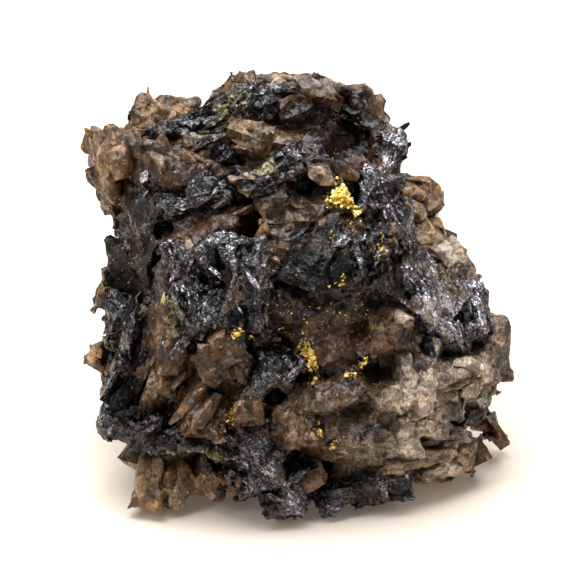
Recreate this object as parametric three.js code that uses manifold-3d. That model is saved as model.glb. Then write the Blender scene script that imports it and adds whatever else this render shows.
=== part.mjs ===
// Native gold specimen: a broken lump of smoky quartz, with masses of dark metallic
// sulphide set in it and grains of native gold on both. Millimetres, +Z up; the lump
// rests on its broken base at z = 0, and the origin is under the middle of it.
//
// The lump is laid out in the plane of its best face. Each row of numbers gives a place
// as across (to the right), rise (up that face) and reach (out of that face), from the
// middle of the lump. The finished lump is then leaned back onto its base.

import * as THREE from "three";
import { ConvexGeometry } from "three/addons/geometries/ConvexGeometry.js";
import { mergeVertices } from "three/addons/utils/BufferGeometryUtils.js";
import Module from "manifold-3d";

const wasm = await Module();
wasm.setup();

// Driving dimensions
const LEAN = THREE.MathUtils.degToRad(30); // how far the best face leans back from upright
const BASE_LEVEL = -17.5; // height of the broken base under the middle of the lump
const SEAM = 0.3; // space between one mineral and the next
const BURIAL = 0.35; // share of a gold lump's depth that lies in the rock
const BLOCK_SWELL = 1.07; // makes up for what the chipped corners take off a block's size
const BLOCK_CHIPPING = 0.5; // the most that a corner is pushed in along each side
const BLOCK_WANDER = 22; // degrees a block may be turned off true
const RIDGE_HEIGHT = 1.06; // of a block's half depth
const RIDGE_SPREAD = 1.1; // how far off the middle a ridge point may lie
const RUBBLE_DIRECTIONS = 68; // broken blocks all over the back and underside
const RUBBLE_FRONT = -0.1; // and none on the side that faces out further than this
const RUBBLE_UNEVENNESS = 0.5; // how far a direction may be off its even place
const RUBBLE_SIZE = [7.0, 11.0];
const RUBBLE_FLATNESS = [1, 0.8, 0.7];
const RUBBLE_SUNK = 0.17; // share of the way in from the heart's surface to its middle
const POINT_SIDES = 6; // quartz points are six-sided
const POINT_SHOULDER = 0.62; // where along a point its pyramid starts, give or take a little
const POINT_TAPER = 0.86; // a point's width there, as a share of its width at the foot
const BAR_SECTION = [
  [-1, -0.7],
  [-0.55, 1],
  [0.7, 0.85],
  [1, -0.8],
]; // a bladed crystal's section, as shares of its half width and half depth

const BOX_CORNERS = [-1, 1].flatMap((x) => [-1, 1].flatMap((y) => [-1, 1].map((z) => [x, y, z])));

// The solid heart of the lump: outlines [across, rise] at its depths, back to front.
const HEART = [
  {
    reach: -16.5,
    outline: [
      [-8, 5],
      [1, 10.5],
      [8, 5],
      [10.5, -5],
      [6, -12],
      [-7, -12],
      [-11, -4],
    ],
  },
  {
    reach: -11,
    outline: [
      [-15.5, 8],
      [-8, 15],
      [5, 17.5],
      [11.5, 9],
      [17, -3],
      [15, -13],
      [6, -16],
      [-6, -16],
      [-14.5, -8],
    ],
  },
  {
    reach: -4,
    outline: [
      [-17, 12],
      [-10, 15.4],
      [2, 16.6],
      [12.5, 10],
      [18.8, 0],
      [19.4, -12],
      [15.6, -18],
      [-2, -20],
      [-13.4, -17],
      [-18, -6],
    ],
  },
  {
    reach: 7,
    outline: [
      [-12, 2],
      [-5, 7],
      [5, 7],
      [11, 1],
      [12, -10],
      [4, -16],
      [-6, -14.6],
      [-13, -9.5],
      [-12.6, -3],
    ],
  },
];

// Rows of blocks: across, rise, reach, width, height, depth, turn in the face's plane.
const QUARTZ_BLOCKS = [
  // thin translucent corner at the upper left, behind a rounded crystal
  [-18.6, 14.5, -7.2, 4.8, 4.8, 3.0, 4],
  [-18.0, 10.4, -7.0, 4.4, 7.0, 3.4, 18],
  [-16.8, 7.0, -6.0, 3.4, 5.0, 4.0, 20],
  [-16.8, 13.4, -2.6, 5.0, 5.4, 5.0, 10],
  [-12.6, 12.8, -1.6, 6.0, 5.0, 6.0, -8],
  [-9.6, 11.6, 1.0, 5.4, 3.6, 5.0, 5],
  // foot of the spike and the dome beside it
  [-15.2, 17.2, -7.6, 2.6, 4.0, 3.0, 10],
  [-12.2, 17.6, -8.4, 4.8, 4.6, 4.6, 12],
  [-13.2, 14.8, -7.8, 6.0, 5.6, 5.6, 0],
  // crest along the top
  [-7.0, 19.0, -8.6, 2.8, 4.6, 3.4, -20],
  [-5.4, 20.2, -9.2, 3.4, 4.2, 3.8, 10],
  [-1.4, 20.2, -10.0, 4.4, 4.4, 4.8, 12],
  [1.6, 20.2, -10.2, 4.8, 4.4, 5.4, 0],
  [4.0, 19.6, -10.0, 4.8, 4.8, 6.4, -16],
  [1.6, 17.2, -7.4, 8.2, 5.6, 7.0, 8],
  [0.2, 14.6, -3.2, 5.0, 3.6, 5.0, 0],
  // right of the hollow, with its thin bright edge
  [7.2, 18.6, -11.4, 4.4, 4.8, 4.6, 0],
  [8.8, 17.4, -11.6, 2.0, 5.0, 2.8, 0],
  [5.6, 15.6, -11.6, 7.0, 7.0, 6.0, 0],
  [8.4, 14.4, -7.6, 4.4, 5.6, 5.4, -10],
  // pale block above the middle, and the sill under the hollow
  [-3.4, 14.8, -0.4, 4.6, 3.8, 4.6, -10],
  [3.0, 11.6, 2.2, 6.4, 3.4, 6.0, -6],
  [7.0, 12.0, 0.2, 4.6, 2.6, 5.4, -20],
  // honey-coloured crystals at the right shoulder
  [12.2, 9.6, -7.0, 4.8, 4.6, 5.0, 0],
  [14.2, 9.2, -8.0, 2.8, 4.0, 3.4, 12],
  [13.8, 5.8, -7.0, 2.8, 3.4, 4.0, 10],
  [11.4, 7.0, -3.4, 4.2, 5.4, 5.6, -15],
  [12.6, 4.0, -1.4, 4.0, 3.4, 5.0, 0],
  // grey block and the large pale one below it
  [16.8, 1.3, -2.4, 5.4, 5.4, 6.0, 6],
  [14.6, 3.0, -1.4, 5.2, 3.0, 5.0, 0],
  [19.0, -5.6, -2.0, 6.0, 6.6, 6.6, -10],
  [20.0, -4.0, -3.4, 2.8, 4.6, 4.4, 8],
  [17.6, -8.4, 0.4, 6.6, 4.6, 6.4, 15],
  [15.4, -9.6, 2.6, 5.4, 7.0, 5.4, 10],
  // dark brown lump and its rusty nose, tucked under the pale block
  [17.6, -12.8, -3.6, 6.0, 4.0, 5.4, 5],
  [20.0, -13.9, -4.6, 2.6, 2.8, 3.0, 0],
  // long ledge at the lower right, and the thin edge under it
  [14.6, -16.4, -0.6, 9.4, 5.2, 7.0, 8],
  [9.6, -17.0, 1.6, 9.0, 4.8, 7.0, 12],
  [13.8, -19.1, -1.6, 7.0, 1.6, 4.4, 8],
  [17.0, -16.6, -3.0, 4.0, 4.0, 4.6, -12],
  // rough brown middle
  [0.6, -1.6, 6.6, 6.6, 5.0, 5.0, 0],
  [5.4, -1.8, 6.2, 7.0, 4.6, 5.0, 5],
  [9.8, -3.4, 6.0, 4.8, 4.2, 5.0, -10],
  [3.4, -5.8, 7.0, 6.4, 4.4, 5.0, 10],
  [8.0, -6.8, 6.0, 6.0, 4.6, 5.0, 0],
  [-1.0, 3.6, 6.4, 3.2, 4.4, 4.6, 0],
  [-0.8, 7.6, 4.6, 5.6, 3.2, 5.0, 8],
  [3.6, 8.4, 4.4, 5.4, 2.8, 5.0, 0],
  // pale ribs and the granular ledge across the lower middle
  [12.3, -8.8, 5.0, 3.4, 8.2, 5.0, -6],
  [13.6, -13.0, 2.8, 4.0, 4.6, 5.0, 10],
  [4.4, -10.2, 7.6, 8.4, 3.6, 5.0, 5],
  [9.4, -10.6, 6.6, 5.0, 4.2, 5.0, 0],
  [1.0, -13.6, 7.0, 6.2, 5.2, 5.0, 12],
  [6.0, -14.2, 5.6, 6.4, 5.0, 6.0, 0],
  [10.2, -13.8, 4.2, 5.4, 4.6, 6.0, 8],
  // tan slabs at the lower left
  [-8.4, -11.0, 6.6, 4.6, 8.4, 4.6, -25],
  [-6.8, -6.6, 7.4, 6.6, 5.6, 5.0, 0],
  [-3.8, -11.0, 7.6, 3.0, 5.2, 4.4, 10],
  [-10.8, -6.0, 6.0, 4.4, 5.4, 4.6, -20],
  // crystals under the overhang, which the lump stands on
  [-13.9, -18.9, 3.4, 3.6, 6.8, 3.8, 0],
  [-11.4, -18.7, 2.4, 3.6, 5.4, 4.2, 6],
  [-8.4, -18.6, 2.8, 3.8, 4.6, 4.6, 8],
  [-12.4, -16.0, 0.6, 7.0, 5.0, 7.0, 0],
  // left edge
  [-18.9, -0.8, -1.6, 2.6, 3.8, 3.2, 12],
  [-18.7, -7.6, -1.6, 2.4, 4.6, 3.0, 14],
  [-16.8, -7.2, -2.8, 4.6, 8.4, 4.6, 0],
  [-16.4, 2.6, -3.0, 4.4, 7.0, 5.6, 0],
  [-17.6, 0.6, -2.2, 3.4, 4.6, 4.4, 8],
  [-13.2, 5.2, 0.6, 4.6, 4.4, 5.0, 0],
  // large broken blocks at the back
  [-11.0, 8.0, -12.0, 8.0, 8.6, 7.4, 20],
  [4.0, 12.0, -13.6, 9.0, 8.4, 7.6, 15],
  [0.0, 2.0, -15.8, 10.4, 8.6, 6.4, 30],
  [12.8, 1.4, -11.2, 8.8, 8.4, 7.2, -20],
  [-14.4, -4.0, -8.0, 7.4, 9.2, 7.4, 12],
];

// Quartz points: foot (across, rise, reach), tip (across, rise, reach), radius.
const QUARTZ_POINTS = [
  [-13.6, 15.6, -7.6, -14.7, 21.1, -8.8, 1.9],
  [-18.2, -6.2, -1.0, -20.6, -5.2, -1.6, 1.6],
  [19.2, -8.8, -1.8, 21.3, -10.9, -2.0, 1.1],
  [-18.0, 12.2, -7.0, -20.7, 12.2, -7.2, 1.3],
  [-4.0, 19.6, -9.6, -3.9, 22.8, -10.0, 1.6],
  [6.4, 18.6, -11.4, 6.9, 21.4, -12.0, 1.4],
  [8.2, 18.6, -11.4, 9.8, 19.6, -12.0, 1.1],
  [13.2, 8.6, -7.8, 15.5, 9.2, -8.6, 1.1],
  [-9.6, 6.0, -14.0, -12.4, 8.4, -17.4, 1.9],
  [3.6, 10.0, -15.6, 5.4, 12.6, -19.4, 2.1],
  [10.4, -2.0, -16.0, 13.8, -3.0, -18.6, 1.8],
];

// Hollows and holes cut into the lump, as blocks.
const HOLLOWS = [
  [6.4, 15.4, -3.0, 6.2, 5.2, 9.6, 0],
  [-4.0, 6.4, 6.0, 2.2, 3.0, 7.0, -20],
  [-12.6, 6.0, 3.4, 2.0, 2.6, 5.0, 0],
  [-13.8, 0.8, 4.2, 2.0, 7.6, 5.0, -6],
  [-7.4, -17.3, 6.6, 5.6, 2.2, 5.0, 8],
];

// The dark sulphide masses. Blocks and bars have the same rows as the quartz blocks.
const SULPHIDES = {
  sulphide_crown: {
    blocks: [
      [-13.0, 15.0, -3.0, 4.2, 2.8, 4.4, 25],
      [-10.4, 15.8, -3.4, 4.8, 3.4, 4.8, 20],
      [-7.8, 16.6, -4.0, 4.6, 4.6, 5.2, 25],
      [-5.2, 18.0, -5.6, 4.8, 4.4, 5.2, 20],
      [-2.8, 17.8, -5.8, 3.8, 5.4, 5.0, 0],
      [-7.4, 14.2, -1.6, 5.2, 3.4, 5.0, 0],
    ],
  },
  sulphide_band: {
    blocks: [
      [-11.2, 8.2, 1.8, 5.8, 3.4, 4.8, 10],
      [-7.4, 9.4, 3.8, 5.6, 3.8, 5.0, 15],
      [-3.6, 10.2, 4.0, 4.8, 3.4, 5.0, 8],
      [-0.4, 11.8, 3.2, 4.6, 3.4, 5.0, 15],
      [1.4, 13.0, 1.6, 3.6, 2.6, 4.4, 0],
    ],
  },
  sulphide_horn: {
    blocks: [
      [10.5, 13.4, -5.0, 2.2, 4.4, 2.6, 0],
      [10.6, 15.3, -5.2, 1.8, 2.0, 2.0, 20],
    ],
  },
  sulphide_shoulder: {
    blocks: [
      [9.0, 9.4, 2.0, 4.2, 4.6, 5.0, -25],
      [10.4, 6.6, 2.8, 4.0, 4.6, 5.0, -20],
    ],
  },
  sulphide_heart: {
    blocks: [
      [3.2, 3.4, 8.0, 6.6, 5.6, 6.0, 25],
      [5.6, 2.6, 9.2, 4.4, 5.2, 5.0, 0],
      [8.2, 3.8, 7.4, 4.6, 5.2, 5.0, 0],
      [9.2, 1.0, 7.0, 3.6, 3.6, 4.6, 0],
    ],
  },
  sulphide_vein: {
    blocks: [
      [12.0, 1.6, 4.0, 4.4, 5.2, 5.0, -35],
      [13.8, -1.2, 3.4, 4.4, 5.6, 5.0, -35],
      [15.2, -4.2, 2.8, 5.0, 3.8, 5.0, 0],
      [17.8, -2.4, 0.8, 4.2, 5.6, 5.0, 0],
    ],
  },
  sulphide_cluster: {
    blocks: [
      [-10.7, 1.8, 5.2, 3.2, 5.8, 5.0, 0],
      [-9.2, -1.6, 6.2, 3.4, 5.8, 5.0, 0],
      [-7.0, 3.0, 6.2, 4.6, 4.6, 5.0, 35],
      [-4.5, 3.2, 7.0, 4.4, 4.0, 5.0, 0],
      [-4.0, -0.2, 7.6, 4.8, 5.6, 5.0, 0],
      [-6.4, -2.0, 7.0, 4.4, 4.6, 5.0, 0],
      [-2.8, -3.2, 7.4, 2.8, 4.0, 4.2, 0],
    ],
  },
  sulphide_bars: {
    blocks: [
      [-17.0, -12.6, 3.0, 4.2, 4.2, 5.0, 0],
      [-13.8, -14.0, 4.4, 4.8, 3.2, 5.0, 0],
      [-10.4, -14.8, 5.2, 5.0, 2.4, 5.0, 0],
      [-16.6, -3.4, 0.8, 3.4, 5.0, 4.4, 0],
    ],
    bars: [
      [-16.2, -7.4, 2.8, 2.2, 12.6, 3.0, -18],
      [-14.6, -6.8, 3.2, 1.9, 10.6, 3.0, -18],
      [-17.4, -10.6, 2.4, 2.4, 8.0, 4.0, -12],
    ],
  },
  sulphide_patch: {
    blocks: [
      [-1.4, -8.0, 8.0, 4.0, 4.2, 4.0, 10],
      [-2.6, -10.2, 7.6, 2.6, 3.2, 4.0, 0],
    ],
  },
  sulphide_keel: {
    blocks: [
      [-3.6, -15.0, 6.6, 4.8, 5.4, 5.0, 0],
      [-5.6, -16.6, 5.8, 4.8, 3.6, 5.0, -40],
      [-2.6, -18.2, 5.6, 5.2, 5.0, 5.6, 0],
      [-0.8, -20.2, 4.8, 4.2, 5.0, 5.0, 0],
      [1.0, -18.8, 4.8, 3.8, 3.4, 4.4, 0],
    ],
  },
  sulphide_lens: {
    blocks: [
      [5.4, -19.2, 2.6, 7.4, 3.4, 6.0, 0],
      [9.2, -19.5, 1.8, 6.0, 3.0, 6.0, 5],
    ],
  },
  sulphide_back: {
    blocks: [
      [-5.2, 7.2, -16.2, 5.6, 5.0, 4.6, 20],
      [-1.6, 8.6, -17.0, 4.8, 4.2, 4.4, 0],
      [1.4, 6.6, -17.6, 4.2, 4.6, 4.0, -15],
    ],
  },
  sulphide_heel: {
    blocks: [
      [11.8, -5.2, -13.0, 5.4, 5.0, 5.4, 0],
      [8.6, -6.6, -14.2, 4.8, 4.4, 4.6, 12],
    ],
  },
};

// Gold: across, rise, width, height, depth, turn. Each lump lies on the rock in front.
const GOLDS = {
  gold_main: [
    [4.0, 8.4, 1.7, 0.9, 0.9, 20],
    [4.9, 9.2, 1.5, 1.2, 1.0, 30],
    [5.0, 10.0, 1.0, 0.9, 0.8, 0],
    [5.7, 8.4, 1.2, 1.0, 0.9, -30],
    [6.2, 7.6, 1.1, 1.0, 0.8, -20],
  ],
  gold_nugget_left: [[-5.0, -4.3, 1.1, 1.2, 1.1, 0]],
  gold_flake_left: [[-3.7, -4.7, 0.9, 0.5, 0.7, 25]],
  gold_string: [
    [1.3, -5.5, 1.0, 1.2, 0.9, 0],
    [1.8, -6.4, 0.9, 1.0, 0.8, 0],
    [2.2, -7.2, 0.9, 0.9, 0.8, -20],
    [2.8, -7.9, 0.9, 0.6, 0.8, -20],
  ],
  gold_grain_centre: [[2.4, -8.9, 0.8, 0.5, 0.7, 10]],
  gold_grain_right: [
    [7.0, -7.2, 0.7, 0.6, 0.7, 40],
    [7.4, -6.8, 0.6, 0.7, 0.7, 0],
  ],
  gold_flake_right: [[6.0, -8.4, 1.1, 0.5, 0.7, -8]],
  gold_leaf: [
    [-5.9, -12.6, 0.9, 1.6, 0.8, 0],
    [-5.4, -11.7, 0.6, 1.3, 0.7, -35],
  ],
  gold_grain_lower_left: [[-6.8, -13.8, 0.9, 0.5, 0.6, 25]],
  gold_nugget_lower: [[2.8, -13.9, 0.9, 0.7, 0.9, 0]],
  gold_grain_lower: [[4.3, -15.2, 0.7, 0.9, 0.8, 0]],
};

const FINISHES = {
  quartz: new THREE.MeshStandardMaterial({ color: 0x7a6650, roughness: 0.45, metalness: 0 }),
  sulphide: new THREE.MeshStandardMaterial({ color: 0x2b2c31, roughness: 0.35, metalness: 0.8 }),
  gold: new THREE.MeshStandardMaterial({ color: 0xe0a92e, roughness: 0.3, metalness: 1 }),
};

// A repeatable stream of numbers from 0 to 1.
function stream(seed) {
  let state = Math.round(seed) >>> 0;
  return () => {
    state = (state + 0x6d2b79f5) >>> 0;
    let t = Math.imul(state ^ (state >>> 15), 1 | state);
    t = (t + Math.imul(t ^ (t >>> 7), 61 | t)) ^ t;
    return ((t ^ (t >>> 14)) >>> 0) / 4294967296;
  };
}

// Each place has its own stream, so a block keeps its shape when others are added.
function streamAt(across, rise, reach) {
  const [east, north, out] = [across, rise, reach].map((value) => 10 * (value + 40));
  return stream(7919 + 731 * east + 17930 * north + 2837 * out);
}

// Directions spread evenly over a ball, each pushed a little off its place.
function spreadDirections(count, random) {
  const golden = Math.PI * (3 - Math.sqrt(5));
  const phase = random() * 2 * Math.PI;
  return Array.from({ length: count }, (_, i) => {
    const height = 1 - (2 * (i + 0.5)) / count;
    const ring = Math.sqrt(1 - height * height);
    const turn = phase + golden * i;
    const push = () => (random() - 0.5) * RUBBLE_UNEVENNESS;
    return new THREE.Vector3(
      ring * Math.cos(turn) + push(),
      ring * Math.sin(turn) + push(),
      height + push(),
    ).normalize();
  });
}

function toSolid(geometry) {
  const bare = geometry.index ? geometry.toNonIndexed() : geometry.clone();
  bare.deleteAttribute("normal");
  bare.deleteAttribute("uv");
  const merged = mergeVertices(bare, 1e-5);
  return new wasm.Manifold(
    new wasm.Mesh({
      numProp: 3,
      vertProperties: new Float32Array(merged.attributes.position.array),
      triVerts: new Uint32Array(merged.index.array),
    }),
  );
}

function toGeometry(solid) {
  const mesh = solid.getMesh();
  const places = new Float32Array(mesh.numVert * 3);
  for (let i = 0; i < mesh.numVert; i++) {
    const start = i * mesh.numProp;
    places.set(mesh.vertProperties.subarray(start, start + 3), i * 3);
  }
  const geometry = new THREE.BufferGeometry();
  geometry.setAttribute("position", new THREE.BufferAttribute(places, 3));
  geometry.setIndex(new THREE.BufferAttribute(new Uint32Array(mesh.triVerts), 1));
  return geometry;
}

function joined(solids) {
  return solids.reduce((whole, solid) => whole.add(solid));
}

// Cuts can leave loose crumbs and tiny voids, so only the largest body is kept.
function withoutCrumbs(solid) {
  const bodies = solid.decompose();
  return bodies.reduce((most, body) => (body.volume() > most.volume() ? body : most));
}

// An irregular block: a box whose corners are each pushed in by amounts of their own, with
// a ridge point on its front. Extra widens it all round, for the seat that it lies in.
function blockCorners([across, rise, reach, width, height, depth, turn = 0], extra = 0) {
  const random = streamAt(across, rise, reach);
  const half = new THREE.Vector3(width, height, depth).multiplyScalar(BLOCK_SWELL / 2);
  const wander = () => THREE.MathUtils.degToRad((random() - 0.5) * 2 * BLOCK_WANDER);
  const tilt = new THREE.Euler(wander(), wander(), THREE.MathUtils.degToRad(turn) + wander());
  const kept = () => 1 - BLOCK_CHIPPING * random();
  const corners = BOX_CORNERS.map(([x, y, z]) => {
    const side = new THREE.Vector3(x, y, z);
    const share = new THREE.Vector3(x * kept(), y * kept(), z * kept());
    return share.multiply(half).addScaledVector(side, extra);
  });
  const offMiddle = () => (random() - 0.5) * RIDGE_SPREAD;
  const ridge = new THREE.Vector3(offMiddle(), offMiddle(), RIDGE_HEIGHT).multiply(half);
  corners.push(ridge.addScaledVector(new THREE.Vector3(0, 0, 1), extra));
  const place = new THREE.Vector3(across, rise, reach);
  return corners.map((corner) => corner.applyEuler(tilt).add(place));
}

function hullOf(corners) {
  return toSolid(new ConvexGeometry(corners));
}

function block(row, extra = 0) {
  return hullOf(blockCorners(row, extra));
}

// A straight bar with chisel ends, as a bladed crystal has.
function bar([across, rise, reach, width, length, depth, turn = 0], extra = 0) {
  const random = streamAt(across, rise, reach);
  const tilt = new THREE.Euler(0, 0, THREE.MathUtils.degToRad(turn));
  const [w, l, d] = [width, length, depth].map((size) => size / 2 + extra);
  const corners = [];
  for (const end of [-1, 1]) {
    for (const [side, front] of BAR_SECTION) {
      const along = end * l * (0.82 + 0.16 * random());
      corners.push(new THREE.Vector3(side * w, along, front * d));
    }
    corners.push(new THREE.Vector3((random() - 0.5) * w, end * l, -0.2 * d));
  }
  const place = new THREE.Vector3(across, rise, reach);
  return hullOf(corners.map((corner) => corner.applyEuler(tilt).add(place)));
}

// A six-sided quartz point: a short prism under a pyramid that leans a little.
function quartzPoint([x0, y0, z0, x1, y1, z1, radius]) {
  const random = streamAt(x0, y0, z0);
  const foot = new THREE.Vector3(x0, y0, z0);
  const tip = new THREE.Vector3(x1, y1, z1);
  const along = tip.clone().sub(foot).normalize();
  const sideways = new THREE.Vector3(0, 0, 1).cross(along).normalize();
  const outward = along.clone().cross(sideways);
  const corners = [tip];
  for (let i = 0; i < POINT_SIDES; i++) {
    const angle = (2 * Math.PI * (i + 0.3 * random())) / POINT_SIDES;
    const rim = sideways
      .clone()
      .multiplyScalar(Math.cos(angle) * radius)
      .addScaledVector(outward, Math.sin(angle) * radius);
    corners.push(foot.clone().add(rim));
    const shoulder = POINT_SHOULDER * (0.8 + 0.3 * random());
    corners.push(foot.clone().lerp(tip, shoulder).addScaledVector(rim, POINT_TAPER));
  }
  return hullOf(corners);
}

function heartGeometry() {
  const corners = HEART.flatMap(({ reach, outline }) =>
    outline.map(([across, rise]) => new THREE.Vector3(across, rise, reach)),
  );
  return new ConvexGeometry(corners);
}

// Broken blocks half sunk in the heart, all over its back and underside.
function rubble(heart) {
  const random = stream(2411);
  const middle = new THREE.Vector3(0, 0, -5);
  const surface = new THREE.Mesh(heart, new THREE.MeshBasicMaterial({ side: THREE.DoubleSide }));
  const [least, most] = RUBBLE_SIZE;
  const size = () => THREE.MathUtils.lerp(least, most, random());
  return spreadDirections(RUBBLE_DIRECTIONS, random)
    .filter((direction) => direction.z < RUBBLE_FRONT)
    .map((direction) => {
      const [hit] = new THREE.Raycaster(middle, direction).intersectObject(surface);
      const place = hit.point.lerp(middle, RUBBLE_SUNK);
      const turn = random() * 180;
      const sizes = RUBBLE_FLATNESS.map((share) => share * size());
      return block([...place.toArray(), ...sizes, turn]);
    });
}

// All that lies under the broken base, as one large block.
function groundBlock() {
  const size = 200;
  const ground = new THREE.BoxGeometry(size, size, size);
  ground.translate(0, 0, BASE_LEVEL - size / 2);
  ground.rotateX(LEAN - Math.PI / 2);
  return toSolid(ground);
}

function massSolid({ blocks = [], bars = [] }, extra = 0) {
  return joined([
    ...blocks.map((row) => block(row, extra)),
    ...bars.map((row) => bar(row, extra)),
  ]);
}

// A gold node: one lump, or a chain in which each lump runs over into the next.
function goldSolid(rows, extra = 0) {
  const lumps = rows.map((row) => blockCorners(row, extra));
  if (lumps.length === 1) return hullOf(lumps[0]);
  return joined(lumps.slice(1).map((lump, i) => hullOf([...lumps[i], ...lump])));
}

// How far the rock reaches out of its best face at one place on that face.
function surfaceReach(rock, across, rise) {
  const eye = new THREE.Vector3(across, rise, 100);
  const ray = new THREE.Raycaster(eye, new THREE.Vector3(0, 0, -1));
  const hits = rock.flatMap((mesh) => ray.intersectObject(mesh));
  return Math.max(...hits.map((hit) => hit.point.z));
}

const ground = groundBlock();
const hollows = joined(HOLLOWS.map((row) => block(row)));

// The sulphide masses are cut first, each by the seats of those before it.
const masses = new Map();
const seats = [];
for (const [name, rows] of Object.entries(SULPHIDES)) {
  let mass = massSolid(rows).subtract(hollows).subtract(ground);
  for (const seat of seats) mass = mass.subtract(seat);
  masses.set(name, mass);
  seats.push(massSolid(rows, SEAM));
}

// The quartz holds them all.
const heart = heartGeometry();
let quartz = joined([
  toSolid(heart),
  ...rubble(heart),
  ...QUARTZ_BLOCKS.map((row) => block(row)),
  ...QUARTZ_POINTS.map(quartzPoint),
]);
quartz = quartz.subtract(joined(seats)).subtract(hollows).subtract(ground);

// Gold lies on whatever is in front where it is, and is let into it.
const rock = [quartz, ...masses.values()].map((solid) => new THREE.Mesh(toGeometry(solid)));
const golds = new Map();
const goldSeats = [];
for (const [name, lumps] of Object.entries(GOLDS)) {
  const laid = lumps.map(([across, rise, width, height, depth, turn]) => {
    const reach = surfaceReach(rock, across, rise) + depth * (0.5 - BURIAL);
    return [across, rise, reach, width, height, depth, turn];
  });
  golds.set(name, goldSolid(laid));
  goldSeats.push(goldSolid(laid, SEAM));
}
const allGoldSeats = joined(goldSeats);

const layout = new THREE.Group();
function addNode(name, solid, finish) {
  const mesh = new THREE.Mesh(toGeometry(withoutCrumbs(solid)), finish);
  mesh.name = name;
  layout.add(mesh);
}
addNode("quartz_matrix", quartz.subtract(allGoldSeats), FINISHES.quartz);
for (const [name, mass] of masses) {
  addNode(name, mass.subtract(allGoldSeats), FINISHES.sulphide);
}
for (const [name, gold] of golds) addNode(name, gold, FINISHES.gold);

// Lean the lump back onto its base, and put the origin under its middle.
layout.rotation.x = Math.PI / 2 - LEAN;
const specimen = new THREE.Group();
specimen.add(layout);
specimen.updateMatrixWorld(true);
const extent = new THREE.Box3().setFromObject(specimen, true);
const middle = extent.getCenter(new THREE.Vector3());
specimen.position.set(-middle.x, -middle.y, -extent.min.z);

export default specimen;
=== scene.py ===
import itertools
import math

import bmesh
import bpy
import numpy as np
from mathutils import Matrix, Vector
from mathutils.bvhtree import BVHTree


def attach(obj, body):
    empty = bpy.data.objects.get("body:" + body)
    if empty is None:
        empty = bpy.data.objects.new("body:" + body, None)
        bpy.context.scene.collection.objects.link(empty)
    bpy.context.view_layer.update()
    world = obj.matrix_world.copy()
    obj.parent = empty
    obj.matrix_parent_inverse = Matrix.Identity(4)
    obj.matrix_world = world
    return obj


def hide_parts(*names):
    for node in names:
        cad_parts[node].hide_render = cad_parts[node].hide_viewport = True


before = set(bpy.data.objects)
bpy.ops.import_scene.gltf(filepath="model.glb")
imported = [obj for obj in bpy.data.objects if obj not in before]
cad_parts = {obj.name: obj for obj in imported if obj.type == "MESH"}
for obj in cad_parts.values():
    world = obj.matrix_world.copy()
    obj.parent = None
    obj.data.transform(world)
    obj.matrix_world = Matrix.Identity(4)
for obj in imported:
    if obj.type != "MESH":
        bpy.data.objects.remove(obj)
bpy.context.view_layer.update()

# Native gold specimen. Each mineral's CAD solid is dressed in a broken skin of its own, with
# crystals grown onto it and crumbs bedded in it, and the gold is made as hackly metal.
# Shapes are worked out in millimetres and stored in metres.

MM = 0.001

# The lump is described on its best face: across to the right, rise up that face and reach
# out of it, from the middle of the lump. This is how that face stands in the part's frame.
LEAN = math.radians(30)
LAYOUT_MIDDLE = np.array([-0.267, -2.871, 17.5])
LAYOUT = np.array([
    [1.0, 0.0, 0.0],
    [0.0, math.sin(LEAN), math.cos(LEAN)],
    [0.0, -math.cos(LEAN), math.sin(LEAN)],
])

# A line into the best face starts this far in front of it and goes this far, in millimetres
IN_FRONT = 40
THROUGH = 60

# How far apart the vertices of each mineral's skin are, in millimetres
QUARTZ_GRAIN = 0.22
SULPHIDE_GRAIN = 0.16
GOLD_GRAIN = 0.07

# The share of a skin's triangles that stays when its flat places are thinned out
QUARTZ_KEPT = 0.42
SULPHIDE_KEPT = 0.5

# Faces that meet at more than this keep a sharp edge
SHARP_EDGE = math.radians(25)

# The height above the floor in which the skins are nudged less, to keep the base flat
BASE_STIFF = 2.5

# How many times a crystal's long edges may be halved
MOST_SPLITS = 4

# A listed crystal stands out of the rock by this share of what its row says
STANDING = 0.36

# How many square millimetres of sulphide have one wild crystal, and one grain
CRYSTAL_AREA = 14
GRAIN_AREA = 4

# How many crumbs lie on the quartz, how much they tilt, and how far their streaks are apart
CRUMBS = 5400
CRUMB_TILT = 0.5
STREAK_STEP = 0.37

# How quickly dust thins out away from the sulphide, and brown away from the quartz
DUST_REACH = 0.9
BURIED_REACH = 0.8

# Where rays start off a surface, how far a place sees, and how fast light fades inside
RAY_START = 0.05
OPEN_REACH = 3.0
THIN_REACH = 1.4

# The reach at which the coloured zones are gone, and from which they are whole
ZONE_FADE = (-14, -8)

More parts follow.
